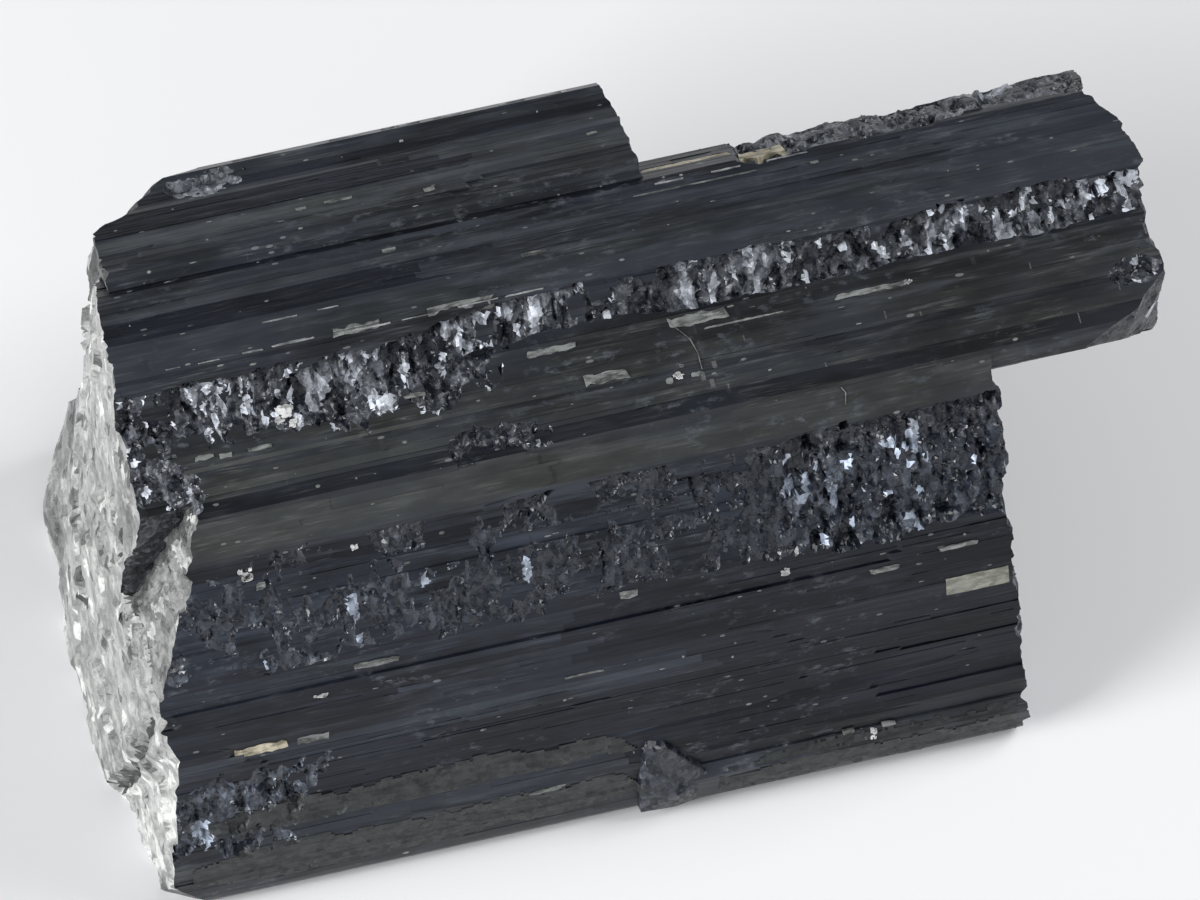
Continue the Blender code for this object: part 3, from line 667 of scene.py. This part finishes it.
def front_prism():
    """The wide prism in front, with the ledge and the lump on its foot, and its rough band."""
    tone = {7: (0.09, 0.09, 0), 6: (0.33, 0.27, 0), 8: (0.06, 0.0, -4), 9: (0.04, 0.0, -1), 10: (0.10, 0.0, -1),
            11: (0.16, 0.0, -1), 12: (0.2, 0.2, 0)}
    stripes = {9: [(0.2, 2.6, -FAR, -1, 3.0), (2.7, 5.4, -FAR, -1, 0.6)], 8: [(2.4, 4.2, -FAR, -14, 0.2)]}
    body = prism("front_prism", FRONT, LEFT_BREAK - STOCK, FRONT_RIGHT + STOCK, 3, tone, stripes, (0,))
    foot_tone = dict.fromkeys(range(len(FOOT)), (0.2, 0.2, 0))
    foot = prism("foot_ledge", FOOT, FOOT_LEFT, FRONT_RIGHT + STOCK, 4, foot_tone, {})
    combine(body, "UNION", foot, closed_shape("foot_chunk", FOOT_CHUNK))
    width = slope(FRONT[8], FRONT[7])[1]
    combine(
        body, "DIFFERENCE",
        right_end("front_right_break", FRONT_RIGHT, (-18, 15), (-2, 27), right_break(FRONT_RIGHT, 50),
                  dark_tone(0.09, 0.025, 1.6)),
        band("front_band_break", FRONT[8], FRONT[7], (-33, 23),
             band_break(-0.6, width - 0.25, 60, 0.4, 0.8, (1.2, 0.6), (0.25, 1.6), calm=(0.42, 4.0, 9.0)),
             dark_tone([(-20, 0.08), (-13, 0.065), (-9, 0.04), (5, 0.035), (9, 0.065)], 0.004,
                       spots=FRONT_GLINTS), below=3.2),
        band("crumbled_corner", FRONT[11], FRONT[9], (-32, -12),
             band_break(0.6, 5.2, 66, 0.2, 0.4, (1.5, 0.4), (1.5, 0.4), (-FAR, -20.5), 0.15),
             dark_tone(0.12, 0.008, 2.0), below=2.4),
        band("front_back_break", FRONT[3], FRONT[2], (1, 23),
             band_break(3.4, 7.4, 68, 0.35, 0.8, (1.6, 0.8), (1.6, 0.8), (5.5, FAR)), dark_tone(), below=0.5))
    return body


def core_prism():
    """The long prism, with its rough band, its terrace's edge, its back rim and its pits broken out."""
    tone = {9: (0.16, 0.12, 6), 8: (0.14, 0.14, 0), 7: (0.19, 0.17, 0), 6: (0.14, 0.14, 0), 5: (0.0, 0.0, 0)}
    stripes = {6: [(0.4, 2.1, -FAR, -7, 1.7), (2.2, 4.1, -FAR, -7, 0.2)],
               9: [(2.6, 4.2, -FAR, -12, 1.8), (4.4, 5.4, -FAR, 9, 0.7)]}
    body = prism("core_prism", CORE, LEFT_BREAK - STOCK, CORE_RIGHT + STOCK, 5, tone, stripes)
    width, terrace, rim = (slope(CORE[k + 1], CORE[k])[1] for k in (8, 9, 5))
    combine(
        body, "DIFFERENCE",
        right_end("core_right_break", CORE_RIGHT, (-10, 13.5), (11, 31), core_right_break,
                  dark_tone(0.015, 0.02, 1.6)),
        band("core_band_break", CORE[9], CORE[8], (-33, 33),
             band_break(0.5, width - 0.5, 70, 0.35, 1.0, (0.4, 4.0), (0.35, 2.0), drop=(0.85, -11.0, -5.0)),
             dark_tone([(0, 0.15), (9, 0.15), (15, 0.13)], 0.14, spots=CORE_GLINTS), below=1.6),
        band("terrace_break", CORE[10], CORE[9], (-33, -4),
             band_break(terrace - 1.7, terrace + 0.1, 75, 0.2, 0.6, (0.6, 0.5), (0.2, 4.0), (-FAR, -9.0), 0.15),
             dark_tone(spots=TERRACE_GLINTS), below=0.2, above=0.8),
        pit("end_crumble", (-25.2, -4.4, 24.75), (0.98, 0.16), 5.8, 4.6, 0.8, 77, dark_tone(0.15)),
        pit("end_chip", (27.6, -3.6, 24.92), (0.986, 0.164), 2.8, 1.7, 0.4, 98, dark_tone(0.1, 0.12)),
        band("core_rim_break", CORE[6], CORE[5], (6, 33),
             band_break(0.3, rim + 0.8, 90, 0.25, 0.6, (0.6, 1.2), (0.6, 1.2), (9.5, FAR)),
             dark_tone(0.17, slim=0.6), below=1.6),
        pit("ridge_pit", (-7.0, -5.6, 24.5), (0.97, 0.24), 5.2, 2.4, 0.5, 94, dark_tone(0.08, 0.04)))
    return body


def back_prism():
    """The short prism at the back, broken at both ends."""
    tone = {5: (0.4, 0.4, 0), 6: (0.16, 0.1, -12), 7: (0.2, 0.2, 0), 8: (0.16, 0.16, 0)}
    stripes = {7: [(0.2, 2.1, -FAR, -8, 0.15), (2.5, 5.2, -FAR, -9, 1.5)]}
    body = prism("back_prism", BACK, BACK_LEFT - STOCK - 2, BACK_RIGHT + STOCK, 8, tone, stripes)
    combine(
        body, "DIFFERENCE",
        right_end("back_right_break", BACK_RIGHT, (1, 19), (-2, 29), right_break(BACK_RIGHT, 80, 0.6),
                  dark_tone(0.09, 0.025, 1.6)),
        cutter("back_left_break", LEFTWARDS, (-2, 29), (1, 19), END_CELL, back_left_break, 34.0, back_tone,
               PALE_SLOT),
        pit("rim_chip", (-17.7, 14.5, 23.3), (0.95, -0.3), 4.9, 2.2, 0.35, 97, dark_tone(0.22, 0.01, 0.5)),
        band("back_band_break", BACK[4], BACK[3], (-24, 3.5),
             band_break(2.2, 5.6, 99, 0.35, 0.8, (1.4, 0.8), (1.4, 0.8), (-19.0, -2.0)), dark_tone()))
    return body


def build_stone():
    """The three prisms joined, with the left end broken across them."""
    body = front_prism()
    combine(body, "UNION", core_prism(), back_prism())
    end = cutter("left_break", LEFTWARDS, (-3, 32), (-19, 20), LEFT_CELL, left_break, 36, left_tone, PALE_SLOT)
    combine(body, "DIFFERENCE", end, corner_flake())
    mesh = plain_mesh(body)
    for helper in HELPERS:
        bpy.data.objects.remove(helper)
    return linked("striated_stone", mesh)


def group(name, inputs, outputs, kind="ShaderNodeTree"):
    """A node group with named sockets. inputs are (name, kind, value) and outputs (name, kind)."""
    tree = bpy.data.node_groups.new(name, kind)
    for label, socket_kind, value in inputs:
        socket = tree.interface.new_socket(label, in_out="INPUT", socket_type="NodeSocket" + socket_kind)
        if value is not None:
            socket.default_value = value
    for label, socket_kind in outputs:
        tree.interface.new_socket(label, in_out="OUTPUT", socket_type="NodeSocket" + socket_kind)
    return tree, tree.nodes.new("NodeGroupInput").outputs, tree.nodes.new("NodeGroupOutput").inputs


def feed(tree, value, socket):
    """Link a socket to another, or set its value."""
    if isinstance(value, bpy.types.NodeSocket):
        tree.links.new(value, socket)
    elif isinstance(value, tuple) and len(value) != len(socket.default_value):
        socket.default_value = (*value, 1)
    else:
        socket.default_value = value


def node(tree, kind, feeds, **settings):
    """A node with its settings, and what feeds its inputs, by their names or numbers."""
    made = tree.nodes.new(kind)
    for name, value in settings.items():
        setattr(made, name, value)
    for name, value in feeds.items():
        feed(tree, value, made.inputs[name])
    return made


def math_node(tree, operation, *values):
    return node(tree, "ShaderNodeMath", dict(enumerate(values)), operation=operation).outputs[0]


def times(tree, *values):
    return math_node(tree, "MULTIPLY", *values)


def vector_node(tree, operation, first, second):
    made = node(tree, "ShaderNodeVectorMath", {0: first, 1: second}, operation=operation)
    return made.outputs["Value" if operation == "DOT_PRODUCT" else "Vector"]


def mixed(tree, factor, low, high, blend="MIX"):
    made = node(tree, "ShaderNodeMix", {}, data_type="RGBA", blend_type=blend)
    for value, socket in zip((factor, low, high), [socket for socket in made.inputs if socket.enabled]):
        feed(tree, value, socket)
    return next(socket for socket in made.outputs if socket.enabled)


def layered(tree, colour, *layers):
    """A colour with others over it, each as (mask, colour)."""
    for mask, over in layers:
        colour = mixed(tree, mask, colour, over)
    return colour


def span(tree, value, low, high, to_low=0.0, to_high=1.0):
    """value from low to high, smoothly brought to a new range."""
    feeds = dict(enumerate((value, low, high, to_low, to_high)))
    return node(tree, "ShaderNodeMapRange", feeds, interpolation_type="SMOOTHSTEP").outputs["Result"]


def noise(tree, where, per_mm, detail=3.0, rough=0.5):
    """Noise, with how many of its swells there are in a millimetre along each axis."""
    place = vector_node(tree, "MULTIPLY", where, per_mm)
    feeds = {"Vector": place, "Scale": 1.0, "Detail": detail, "Roughness": rough}
    return node(tree, "ShaderNodeTexNoise", feeds).outputs["Fac"]


def cells(tree, where, size):
    """Cells of about a size: the place counted in cells, the cells, and their colours' channels."""
    feeds = {0: where, "Scale": math_node(tree, "DIVIDE", 1.0, size)}
    place = node(tree, "ShaderNodeVectorMath", feeds, operation="SCALE").outputs["Vector"]
    cell = node(tree, "ShaderNodeTexVoronoi", {"Vector": place, "Scale": 1.0}, feature="F1").outputs
    return place, cell, node(tree, "ShaderNodeSeparateColor", {"Color": cell["Color"]}).outputs


def placed(tree, made, **values):
    """A shader group placed in a material, with its own values."""
    return node(tree, "ShaderNodeGroup", values, node_tree=made).outputs


def finish(name):
    """A new material, its nodes, its shader and the place on the piece in millimetres."""
    made = bpy.data.materials.new(name)
    made.use_nodes = True
    tree = made.node_tree
    place = node(tree, "ShaderNodeTexCoord", {}).outputs["Object"]
    return made, tree, tree.nodes["Principled BSDF"], vector_node(tree, "MULTIPLY", place, (1 / MM,) * 3)


def tone_value(tree):
    return node(tree, "ShaderNodeAttribute", {}, attribute_name="tone").outputs["Fac"]


def dress(tree, shader, colour, roughness, ior, *heights):
    """Give a shader its colour, roughness and index of refraction, and a bump from heights in millimetres."""
    for name, value in (("Base Color", colour), ("Roughness", roughness), ("IOR", ior)):
        feed(tree, value, shader.inputs[name])
    total = heights[0]
    for height in heights[1:]:
        total = math_node(tree, "ADD", total, height)
    bump = node(tree, "ShaderNodeBump", {"Distance": MM, "Strength": 1.0, "Height": total})
    feed(tree, bump.outputs["Normal"], shader.inputs["Normal"])


PLACE = [("Position", "Vector", None)]  # the input that every shader group starts with


def striation_group():
    """Fine lines along the crystal: how strong a line is, and the height of the ripple."""
    tree, source, target = group(
        "striation", [*PLACE, ("Width", "Float", 0.2), ("Length", "Float", 10.0), ("Depth", "Float", 0.02)],
        [("Lines", "Float"), ("Height", "Float")])
    across, along_x = (math_node(tree, "DIVIDE", 1.0, source[name]) for name in ("Width", "Length"))
    per_mm = node(tree, "ShaderNodeCombineXYZ", {0: along_x, 1: across, 2: across}).outputs["Vector"]
    drawn = noise(tree, source["Position"], per_mm, 3.0, 0.6)
    feed(tree, span(tree, drawn, 0.52, 0.72), target["Lines"])
    feed(tree, times(tree, drawn, source["Depth"]), target["Height"])
    return tree


def facet_group():
    """Small flat facets: a shade for each, and its leaning height."""
    tree, source, target = group("chipped facets", [*PLACE, ("Size", "Float", 0.4), ("Lean", "Float", 0.5)],
                                 [("Shade", "Float"), ("Height", "Float")])
    place, cell, parts = cells(tree, source["Position"], source["Size"])
    lean = vector_node(tree, "SUBTRACT", cell["Color"], (0.5, 0.5, 0.5))
    away = vector_node(tree, "SUBTRACT", place, cell["Position"])
    slant = times(tree, vector_node(tree, "DOT_PRODUCT", lean, away), source["Lean"])
    feed(tree, times(tree, slant, source["Size"]), target["Height"])
    feed(tree, parts["Green"], target["Shade"])
    return tree


def dust_group():
    """Specks and short hairs of pale dust."""
    tree, source, target = group("mineral dust", [*PLACE, ("Size", "Float", 0.5), ("Amount", "Float", 0.1)],
                                 [("Mask", "Float")])
    drawn_out = vector_node(tree, "MULTIPLY", source["Position"], (0.55, 1.3, 1.3))
    _, cell, parts = cells(tree, drawn_out, source["Size"])
    chosen = math_node(tree, "LESS_THAN", parts["Red"], source["Amount"])
    reach = math_node(tree, "MULTIPLY_ADD", parts["Green"], 0.28, 0.05)
    inside = span(tree, math_node(tree, "SUBTRACT", reach, cell["Distance"]), 0.0, 0.06)
    feed(tree, times(tree, chosen, inside), target["Mask"])
    return tree


def tint_group():
    """A colour tinted where the stone lies from front to back, and above a foot, in millimetres."""
    edges = {"Front": -FAR, "Front full": 1 - FAR, "Back full": FAR - 1, "Back": FAR, "Foot": -FAR,
             "Foot full": 1 - FAR}
    tree, source, target = group(
        "growth tint", [*PLACE, ("Colour", "Color", None), ("Tint", "Color", (1, 1, 1, 1)),
                        *((name, "Float", value) for name, value in edges.items())], [("Colour", "Color")])
    parts = node(tree, "ShaderNodeSeparateXYZ", {"Vector": source["Position"]}).outputs
    behind = span(tree, parts["Y"], source["Front"], source["Front full"])
    before = span(tree, parts["Y"], source["Back full"], source["Back"], 1.0, 0.0)
    above = span(tree, parts["Z"], source["Foot"], source["Foot full"])
    mask = times(tree, times(tree, behind, before), above)
    feed(tree, mixed(tree, mask, source["Colour"], source["Tint"], "MULTIPLY"), target["Colour"])
    return tree


def crystal_face():
    """Glossy black, lined along its length, with a bluish bloom, paler faces and specks of dust; the lighter
    lines and the paler faces are painted sheen.
    """
    made, tree, shader, where = finish("black crystal face")
    tone = tone_value(tree)
    hair = placed(tree, STRIATION, Position=where, Width=0.10, Length=1.8, Depth=0.010)
    line = placed(tree, STRIATION, Position=where, Width=0.30, Length=4.5, Depth=0.03)
    streak = placed(tree, STRIATION, Position=where, Width=0.9, Length=9.0, Depth=0.0)
    bloom = noise(tree, where, (0.10, 0.30, 0.30), 4.0, 0.6)
    patchy = noise(tree, where, (0.35, 0.9, 0.9))
    grown = layered(
        tree, (0.0038, 0.0046, 0.0072),
        (span(tree, bloom, 0.38, 0.62), (0.0155, 0.0188, 0.0300)),
        # The lighter streaks and lines are painted sheen along the striations; the hairs are pale scratches.
        (times(tree, streak["Lines"], 0.85), (0.040, 0.046, 0.062)),
        (times(tree, line["Lines"], span(tree, patchy, 0.4, 0.65, 0.05, 0.85)), (0.053, 0.059, 0.072)),
        (times(tree, hair["Lines"], span(tree, patchy, 0.45, 0.7, 0.0, 0.7)), (0.105, 0.112, 0.122)),
        # Paler by the face's tone: painted sheen on the lanes that catch more light.
        (times(tree, tone, span(tree, patchy, 0.3, 0.7, 0.6, 1.0)), (0.112, 0.122, 0.123)),
        (span(tree, tone, 0.0, 0.1, 0.6, 0.0), (0.0008, 0.0014, 0.0040)))
    for tint, place in (((0.92, 0.98, 1.06), {**FRONT_FACES, **FRONT_SLOPE}), ((1.04, 1.0, 0.89), TERRACE)):
        grown = placed(tree, TINT, Position=where, Colour=grown, Tint=tint, **place)["Colour"]
    spots = span(tree, noise(tree, where, (0.9, 1.7, 1.7), 5.0, 0.7), 0.53, 0.70, 0.0, 0.6)
    clouds = span(tree, noise(tree, where, (0.10, 0.2, 0.2), 2.0), 0.47, 0.60)
    dust = placed(tree, DUST, Position=where, Size=0.42, Amount=span(tree, patchy, 0.45, 0.75, 0.01, 0.18))
    dusted = layered(tree, grown, (times(tree, spots, clouds), (0.110, 0.124, 0.146)),
                     (times(tree, dust["Mask"], 0.7), (0.18, 0.19, 0.195)))
    dress(tree, shader, dusted, span(tree, line["Lines"], 0.0, 1.0, 0.32, 0.46), 1.34, hair["Height"],
          line["Height"])
    return made


def broken_face(name, low, high, size, lean, rough, grain_per_mm, grain_depth, front_tint):
    """A chipped break, from low to high colour by tone, with small facets of slightly different shade."""
    made, tree, shader, where = finish(name)
    slim = vector_node(tree, "MULTIPLY", where, (1.6, 1.0, 1.0))
    facet = placed(tree, FACETS, Position=slim, Size=size, Lean=lean)
    finer = placed(tree, FACETS, Position=where, Size=0.45 * size, Lean=lean)
    grain = noise(tree, where, (grain_per_mm,) * 3, 4.0, 0.65)
    mottle = noise(tree, where, (0.7, 0.7, 0.7), 4.0, 0.6)
    tone = tone_value(tree)
    for shade, spread in ((facet["Shade"], 0.16), (finer["Shade"], 0.10)):
        tone = math_node(tree, "MULTIPLY_ADD", math_node(tree, "SUBTRACT", shade, 0.5), spread, tone)
    mask = times(tree, span(tree, tone, 0.0, 1.0), span(tree, mottle, 0.3, 0.6, 0.55, 1.0))
    tinted = placed(tree, TINT, Position=where, Colour=mixed(tree, mask, low, high), Tint=front_tint,
                    **FRONT_FACES)
    dress(tree, shader, tinted["Colour"], span(tree, finer["Shade"], 0.0, 1.0, *rough), 1.5, facet["Height"],
          finer["Height"], times(tree, grain, grain_depth))
    return made


def plate_finish(name, low, high, rough):
    """A thin mineral plate, streaked along its length and patchy."""
    made, tree, shader, where = finish(name)
    line = placed(tree, STRIATION, Position=where, Width=0.18, Length=2.5, Depth=0.03)
    facet = placed(tree, FACETS, Position=where, Size=0.35, Lean=0.5)
    patchy = noise(tree, where, (0.9, 2.4, 2.4), 4.0, 0.6)
    colour = layered(tree, low, (span(tree, patchy, 0.35, 0.6), high), (times(tree, line["Lines"], 0.5), low),
                     (times(tree, facet["Shade"], 0.35), low))
    dress(tree, shader, colour, rough, 1.5, line["Height"], facet["Height"])
    return made


def face_plane(section, corner):
    """A corner of a cross-section, and the ways along and out of the face above it."""
    run = np.array(slope(section[corner], section[(corner + 1) % len(section)])[0])
    return np.array((0.0, *section[corner])) - MIDDLE, run, np.array((0.0, run[2], -run[1]))


def surface_level(surface, place, out):
    """How far the stone's surface stands out from a place on a face's plane."""
    found = surface.ray_cast(Vector((place + PROBE * out) * MM), Vector(-out))
    level = PROBE - found[3] / MM if found[0] else NO_SURFACE
    return min(max(level, LEVEL_RANGE[0]), LEVEL_RANGE[1])


def add_plate(shape, surface, section, corner, rim, look):
    """A thin plate lying on the face above a corner of a cross-section. rim is its outline as (x, distance)."""
    at, run, out = face_plane(section, corner)
    places = [at + np.array((x, 0.0, 0.0)) + q * run for x, q in rim]
    levels = sorted(surface_level(surface, place, out) for place in places)
    ups = levels[int(PLATE_LEVEL * len(levels))] + PLATE_RISE, levels[0] - PLATE_SINK
    top, low = ([shape.verts.new((place + up * out) * MM) for place in places] for up in ups)
    sides = zip(low, low[1:] + low[:1], top[1:] + top[:1], top)
    for face in [top, low[::-1], *sides]:
        shape.faces.new(face).material_index = LOOKS.index(look)


def plate_rim(x, q, length, width, rough, rng):
    """A ragged strip along X, as (x, distance) points."""
    half = max(2, round(length / PLATE_STEP / 2))
    rim = []
    for side, steps in ((1, range(-half, half + 1)), (-1, range(half, -half - 1, -1))):
        for k in steps:
            share = k / half
            ragged = 1 - rough * rng.random() * (1 + abs(share)) / 2
            end = 1 - 0.25 * rough * rng.random() if abs(share) == 1 else 1.0
            rim.append((x + 0.5 * length * share * end, q + side * 0.5 * width * ragged))
    return rim


def crack_rim(points, rng):
    """A thin ribbon through the points."""
    stops = [(x, q, 0.5 * CRACK_LINE * rng.uniform(0.5, 1.3)) for x, q in points]
    return [(x - half, q) for x, q, half in stops] + [(x + half, q) for x, q, half in stops[::-1]]


def add_crust(shape, surface, section, corner, stops, upper, lower):
    """A thin ragged crust that follows the face above a corner of a cross-section."""
    at, run, out = face_plane(section, corner)
    spans = ((stops[0], stops[-1]), (min(upper), max(lower)))
    x, q = np.meshgrid(*(np.arange(*reach, CRUST_CELL) for reach in spans), indexing="ij")
    ragged = 0.5 * swell(x, 1.9, 801) + 0.3 * swell(x, 0.7, 802) + 0.25 * (speckle(x, q, 0.5, 805) - 0.5)
    inside = (q + ragged > np.interp(x, stops, upper)) & (q + ragged < np.interp(x, stops, lower))
    rise = CRUST_RISE * (0.6 + 0.8 * speckle(x * 0.6, q, 1.0, 803)) + chips(x * 0.6, q, 0.9, 804, 0.0, 0.12)
    corners = {}

    def corner_pair(i, j):
        if (i, j) not in corners:
            place = at + np.array((x[i, j], 0.0, 0.0)) + q[i, j] * run
            level = surface_level(surface, place, out)
            ups = (level + rise[i, j], level - PLATE_SINK)
            corners[i, j] = [shape.verts.new((place + up * out) * MM) for up in ups]
        return corners[i, j]

    covered = inside[:-1, :-1]
    for i, j in zip(*np.nonzero(covered)):
        around = [corner_pair(i, j), corner_pair(i + 1, j), corner_pair(i + 1, j + 1), corner_pair(i, j + 1)]
        faces = [[pair[0] for pair in around], [pair[1] for pair in around][::-1]]
        for k, (di, dj) in enumerate(((0, -1), (1, 0), (0, 1), (-1, 0))):
            ni, nj = i + di, j + dj
            if not (0 <= ni < covered.shape[0] and 0 <= nj < covered.shape[1] and covered[ni, nj]):
                a, b = around[k], around[(k + 1) % 4]
                faces.append([a[0], a[1], b[1], b[0]])
        for face in faces:
            shape.faces.new(face).material_index = LOOKS.index("crust")


def mineral_plates(stone):
    """The plates, the white grains, the crusts, the painted highlights on ledge edges and the cracks, as one
    piece.
    """
    polygons = [polygon.vertices[:] for polygon in stone.data.polygons]
    surface = BVHTree.FromPolygons([vertex.co[:] for vertex in stone.data.vertices], polygons)
    rng = random.Random(31)
    shape = bmesh.new()
    for section, corner, plates in PLATES:
        for x, q, length, width, look in plates:
            if look != "white":
                rim = plate_rim(x, q, length, width, PALE_ROUGH if look == "pale" else PLATE_ROUGH, rng)
                add_plate(shape, surface, section, corner, rim, look)
                continue
            for _ in range(WHITE_GRAINS):
                at = [middle + rng.uniform(-GRAIN_SPREAD, GRAIN_SPREAD) * reach
                      for middle, reach in ((x, length), (q, width))]
                size = [reach * rng.uniform(*GRAIN_SIZE) for reach in (length, width)]
                add_plate(shape, surface, section, corner, plate_rim(*at, *size, GRAIN_ROUGH, rng), look)
    for crust in CRUSTS:
        add_crust(shape, surface, *crust)
    for section, corner, x, last, q in LEDGE_HIGHLIGHTS:
        while x < last:
            length = rng.uniform(*LINE_LENGTH)
            drift, width = rng.uniform(-LINE_DRIFT, LINE_DRIFT), LINE_WIDTH * rng.uniform(0.5, 1.3)
            rim = plate_rim(x, q + drift, length, width, PLATE_ROUGH, rng)
            add_plate(shape, surface, section, corner, rim, "line")
            x += length * rng.uniform(*LINE_PITCH)
    for section, corner, points in FACE_CRACKS:
        add_plate(shape, surface, section, corner, crack_rim(points, rng), "grey")
    mesh = bpy.data.meshes.new("mineral_plates")
    write_shape(shape, mesh, PLATE_FINISHES.values())
    return linked("mineral_plates", mesh)


def crumbs_tree(look):
    """Geometry nodes: small flat crumbs strewn in clumps, wherever a face is also the stone's surface."""
    inputs = [("Geometry", "Geometry"), ("Stone", "Object"), ("Per square metre", "Float"),
              ("Crumb size", "Float"), ("Seed", "Int")]
    tree, source, target = group("strewn crumbs", [(*item, None) for item in inputs], inputs[:1],
                                 "GeometryNodeTree")
    surface = node(tree, "GeometryNodeObjectInfo", {"Object": source["Stone"]}).outputs["Geometry"]
    away = node(tree, "GeometryNodeProximity", {0: surface}, target_element="FACES").outputs["Distance"]
    clumps = node(tree, "ShaderNodeTexNoise", {"Scale": CLUMPS_PER_METRE, "Detail": 2.0}).outputs["Fac"]
    density = times(tree, source["Per square metre"], span(tree, clumps, 0.45, 0.68, 0.15, 3.0))
    points = node(tree, "GeometryNodeDistributePointsOnFaces",
                  {"Mesh": source["Geometry"], "Density": density, "Seed": source["Seed"]},
                  distribute_method="RANDOM").outputs
    crumb = node(tree, "GeometryNodeMeshIcoSphere", {"Radius": source["Crumb size"], "Subdivisions": 1})
    face_up = node(tree, "FunctionNodeAlignEulerToVector", {"Vector": points["Normal"]}, axis="Z")
    turned = node(tree, "FunctionNodeAlignEulerToVector",
                  {"Rotation": face_up.outputs["Rotation"], "Vector": (1, 0, 0)}, axis="X", pivot_axis="Z")
    size = node(tree, "FunctionNodeRandomValue", {0: CRUMB_LEAST, 1: CRUMB_MOST, "Seed": source["Seed"]},
                data_type="FLOAT_VECTOR")
    put = node(tree, "GeometryNodeInstanceOnPoints",
               {"Points": points["Points"], "Selection": math_node(tree, "LESS_THAN", away, CRUMB_REACH * MM),
                "Instance": crumb.outputs["Mesh"], "Rotation": turned.outputs["Rotation"],
                "Scale": size.outputs[0]})
    real = node(tree, "GeometryNodeRealizeInstances", {"Geometry": put.outputs["Instances"]})
    dressed = node(tree, "GeometryNodeSetMaterial", {"Geometry": real.outputs["Geometry"], "Material": look})
    feed(tree, dressed.outputs["Geometry"], target["Geometry"])
    return tree


def strewn_crumbs(stone, look):
    """The crumbs on the stone's unbroken faces, as one plain mesh.

    They are strewn over the prisms as they were before the joins, because the faces that a join leaves aren't in
    the same order each run.
    """
    shape = bmesh.new()
    for name in CRUMBED:
        shape.from_mesh(bpy.data.meshes[name])
    mesh = bpy.data.meshes.new("crumb_host")
    shape.to_mesh(mesh)
    shape.free()
    host = linked("crumb_host", mesh)
    step = host.modifiers.new("crumbs", "NODES")
    step.node_group = crumbs_tree(look)
    values = {"Stone": stone, "Per square metre": CRUMBS_PER_CM2 * 1e4, "Crumb size": CRUMB_SIZE * MM,
              "Seed": CRUMB_SEED}
    for item in step.node_group.interface.items_tree:
        if item.name in values:
            step[item.identifier] = values[item.name]
    return linked("strewn_crumbs", plain_mesh(host))


def studio():
    """A pale floor, and soft light from the left, above and the front."""
    bpy.ops.mesh.primitive_plane_add(size=3.0)
    floor = bpy.context.object
    floor.name = "pale_floor"
    made, _, shader, _ = finish("pale floor")
    shader.inputs["Base Color"].default_value = (0.85, 0.85, 0.86, 1)
    shader.inputs["Roughness"].default_value = 0.9
    floor.data.materials.append(made)
    world = bpy.data.worlds.new("studio")
    bpy.context.scene.world = world
    world.use_nodes = True
    sky = world.node_tree.nodes["Background"].inputs
    sky["Color"].default_value = (0.90, 0.95, 1.0, 1)
    sky["Strength"].default_value = 0.22
    for name, place, size, power in LAMPS:
        light = bpy.data.lights.new(name, "AREA")
        light.shape, light.size, light.energy = "SQUARE", size, power
        lamp = linked(name, light)
        lamp.location = place
        lamp.rotation_euler = (LAMPS_AIM - Vector(place)).to_track_quat("-Z", "Y").to_euler()


def camera():
    data = bpy.data.cameras.new("camera")
    data.lens, data.sensor_width = LENS, SENSOR
    data.clip_start, data.clip_end = 0.01, 20.0
    flat = math.cos(ELEVATION)
    back = Vector((math.sin(AZIMUTH) * flat, -math.cos(AZIMUTH) * flat, math.sin(ELEVATION)))
    view = linked("camera", data)
    view.location = AIM + back * (FRAME_WIDTH * LENS / SENSOR)
    view.rotation_euler = (-back).to_track_quat("-Z", "Y").to_euler()
    bpy.context.scene.camera = view


def ride(piece):
    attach(piece, "root")
    print(piece.name, "triangles", sum(len(face.vertices) - 2 for face in piece.data.polygons))


STRIATION, FACETS, DUST, TINT = striation_group(), facet_group(), dust_group(), tint_group()
FINISHES = [
    crystal_face(),
    # The dark break's pale colour is that of its painted glints.
    broken_face("dark break", (0.010, 0.0125, 0.019), (0.74, 0.78, 0.86), 0.6, 0.5, (0.24, 0.45), 2.5, 0.02,
                (0.91, 0.98, 1.08)),
    # The pale break's light grey is partly painted reflection of the light on the black break, partly paler
    # crushed stone.
    broken_face("pale break", (0.045, 0.046, 0.046), (0.66, 0.665, 0.65), 0.6, 0.12, (0.4, 0.6), 1.8, 0.16,
                (1.0, 1.0, 1.0)),
]
PLATE_FINISHES = {
    "grey": plate_finish("grey mineral plate", (0.045, 0.048, 0.046), (0.26, 0.275, 0.265), 0.42),
    "cream": plate_finish("cream mineral plate", (0.18, 0.16, 0.11), (0.62, 0.56, 0.42), 0.5),
    "white": plate_finish("white mineral plate", (0.30, 0.30, 0.30), (0.85, 0.85, 0.85), 0.35),
    "pale": plate_finish("pale mineral plate", (0.17, 0.17, 0.14), (0.34, 0.34, 0.29), 0.45),
    # Painted highlights along ledge edges.
    "line": plate_finish("ledge edge", (0.10, 0.104, 0.108), (0.42, 0.43, 0.44), 0.4),
    "crust": plate_finish("olive crust", (0.010, 0.012, 0.013), (0.032, 0.036, 0.036), 0.5),
}
LOOKS = list(PLATE_FINISHES)

stone = build_stone()
plates = mineral_plates(stone)
crumbs = strewn_crumbs(stone, PLATE_FINISHES["grey"])
for piece in (stone, plates, crumbs):
    ride(piece)
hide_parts("tourmaline_crystal")
studio()
camera()
bpy.context.scene.view_settings.view_transform = "Standard"
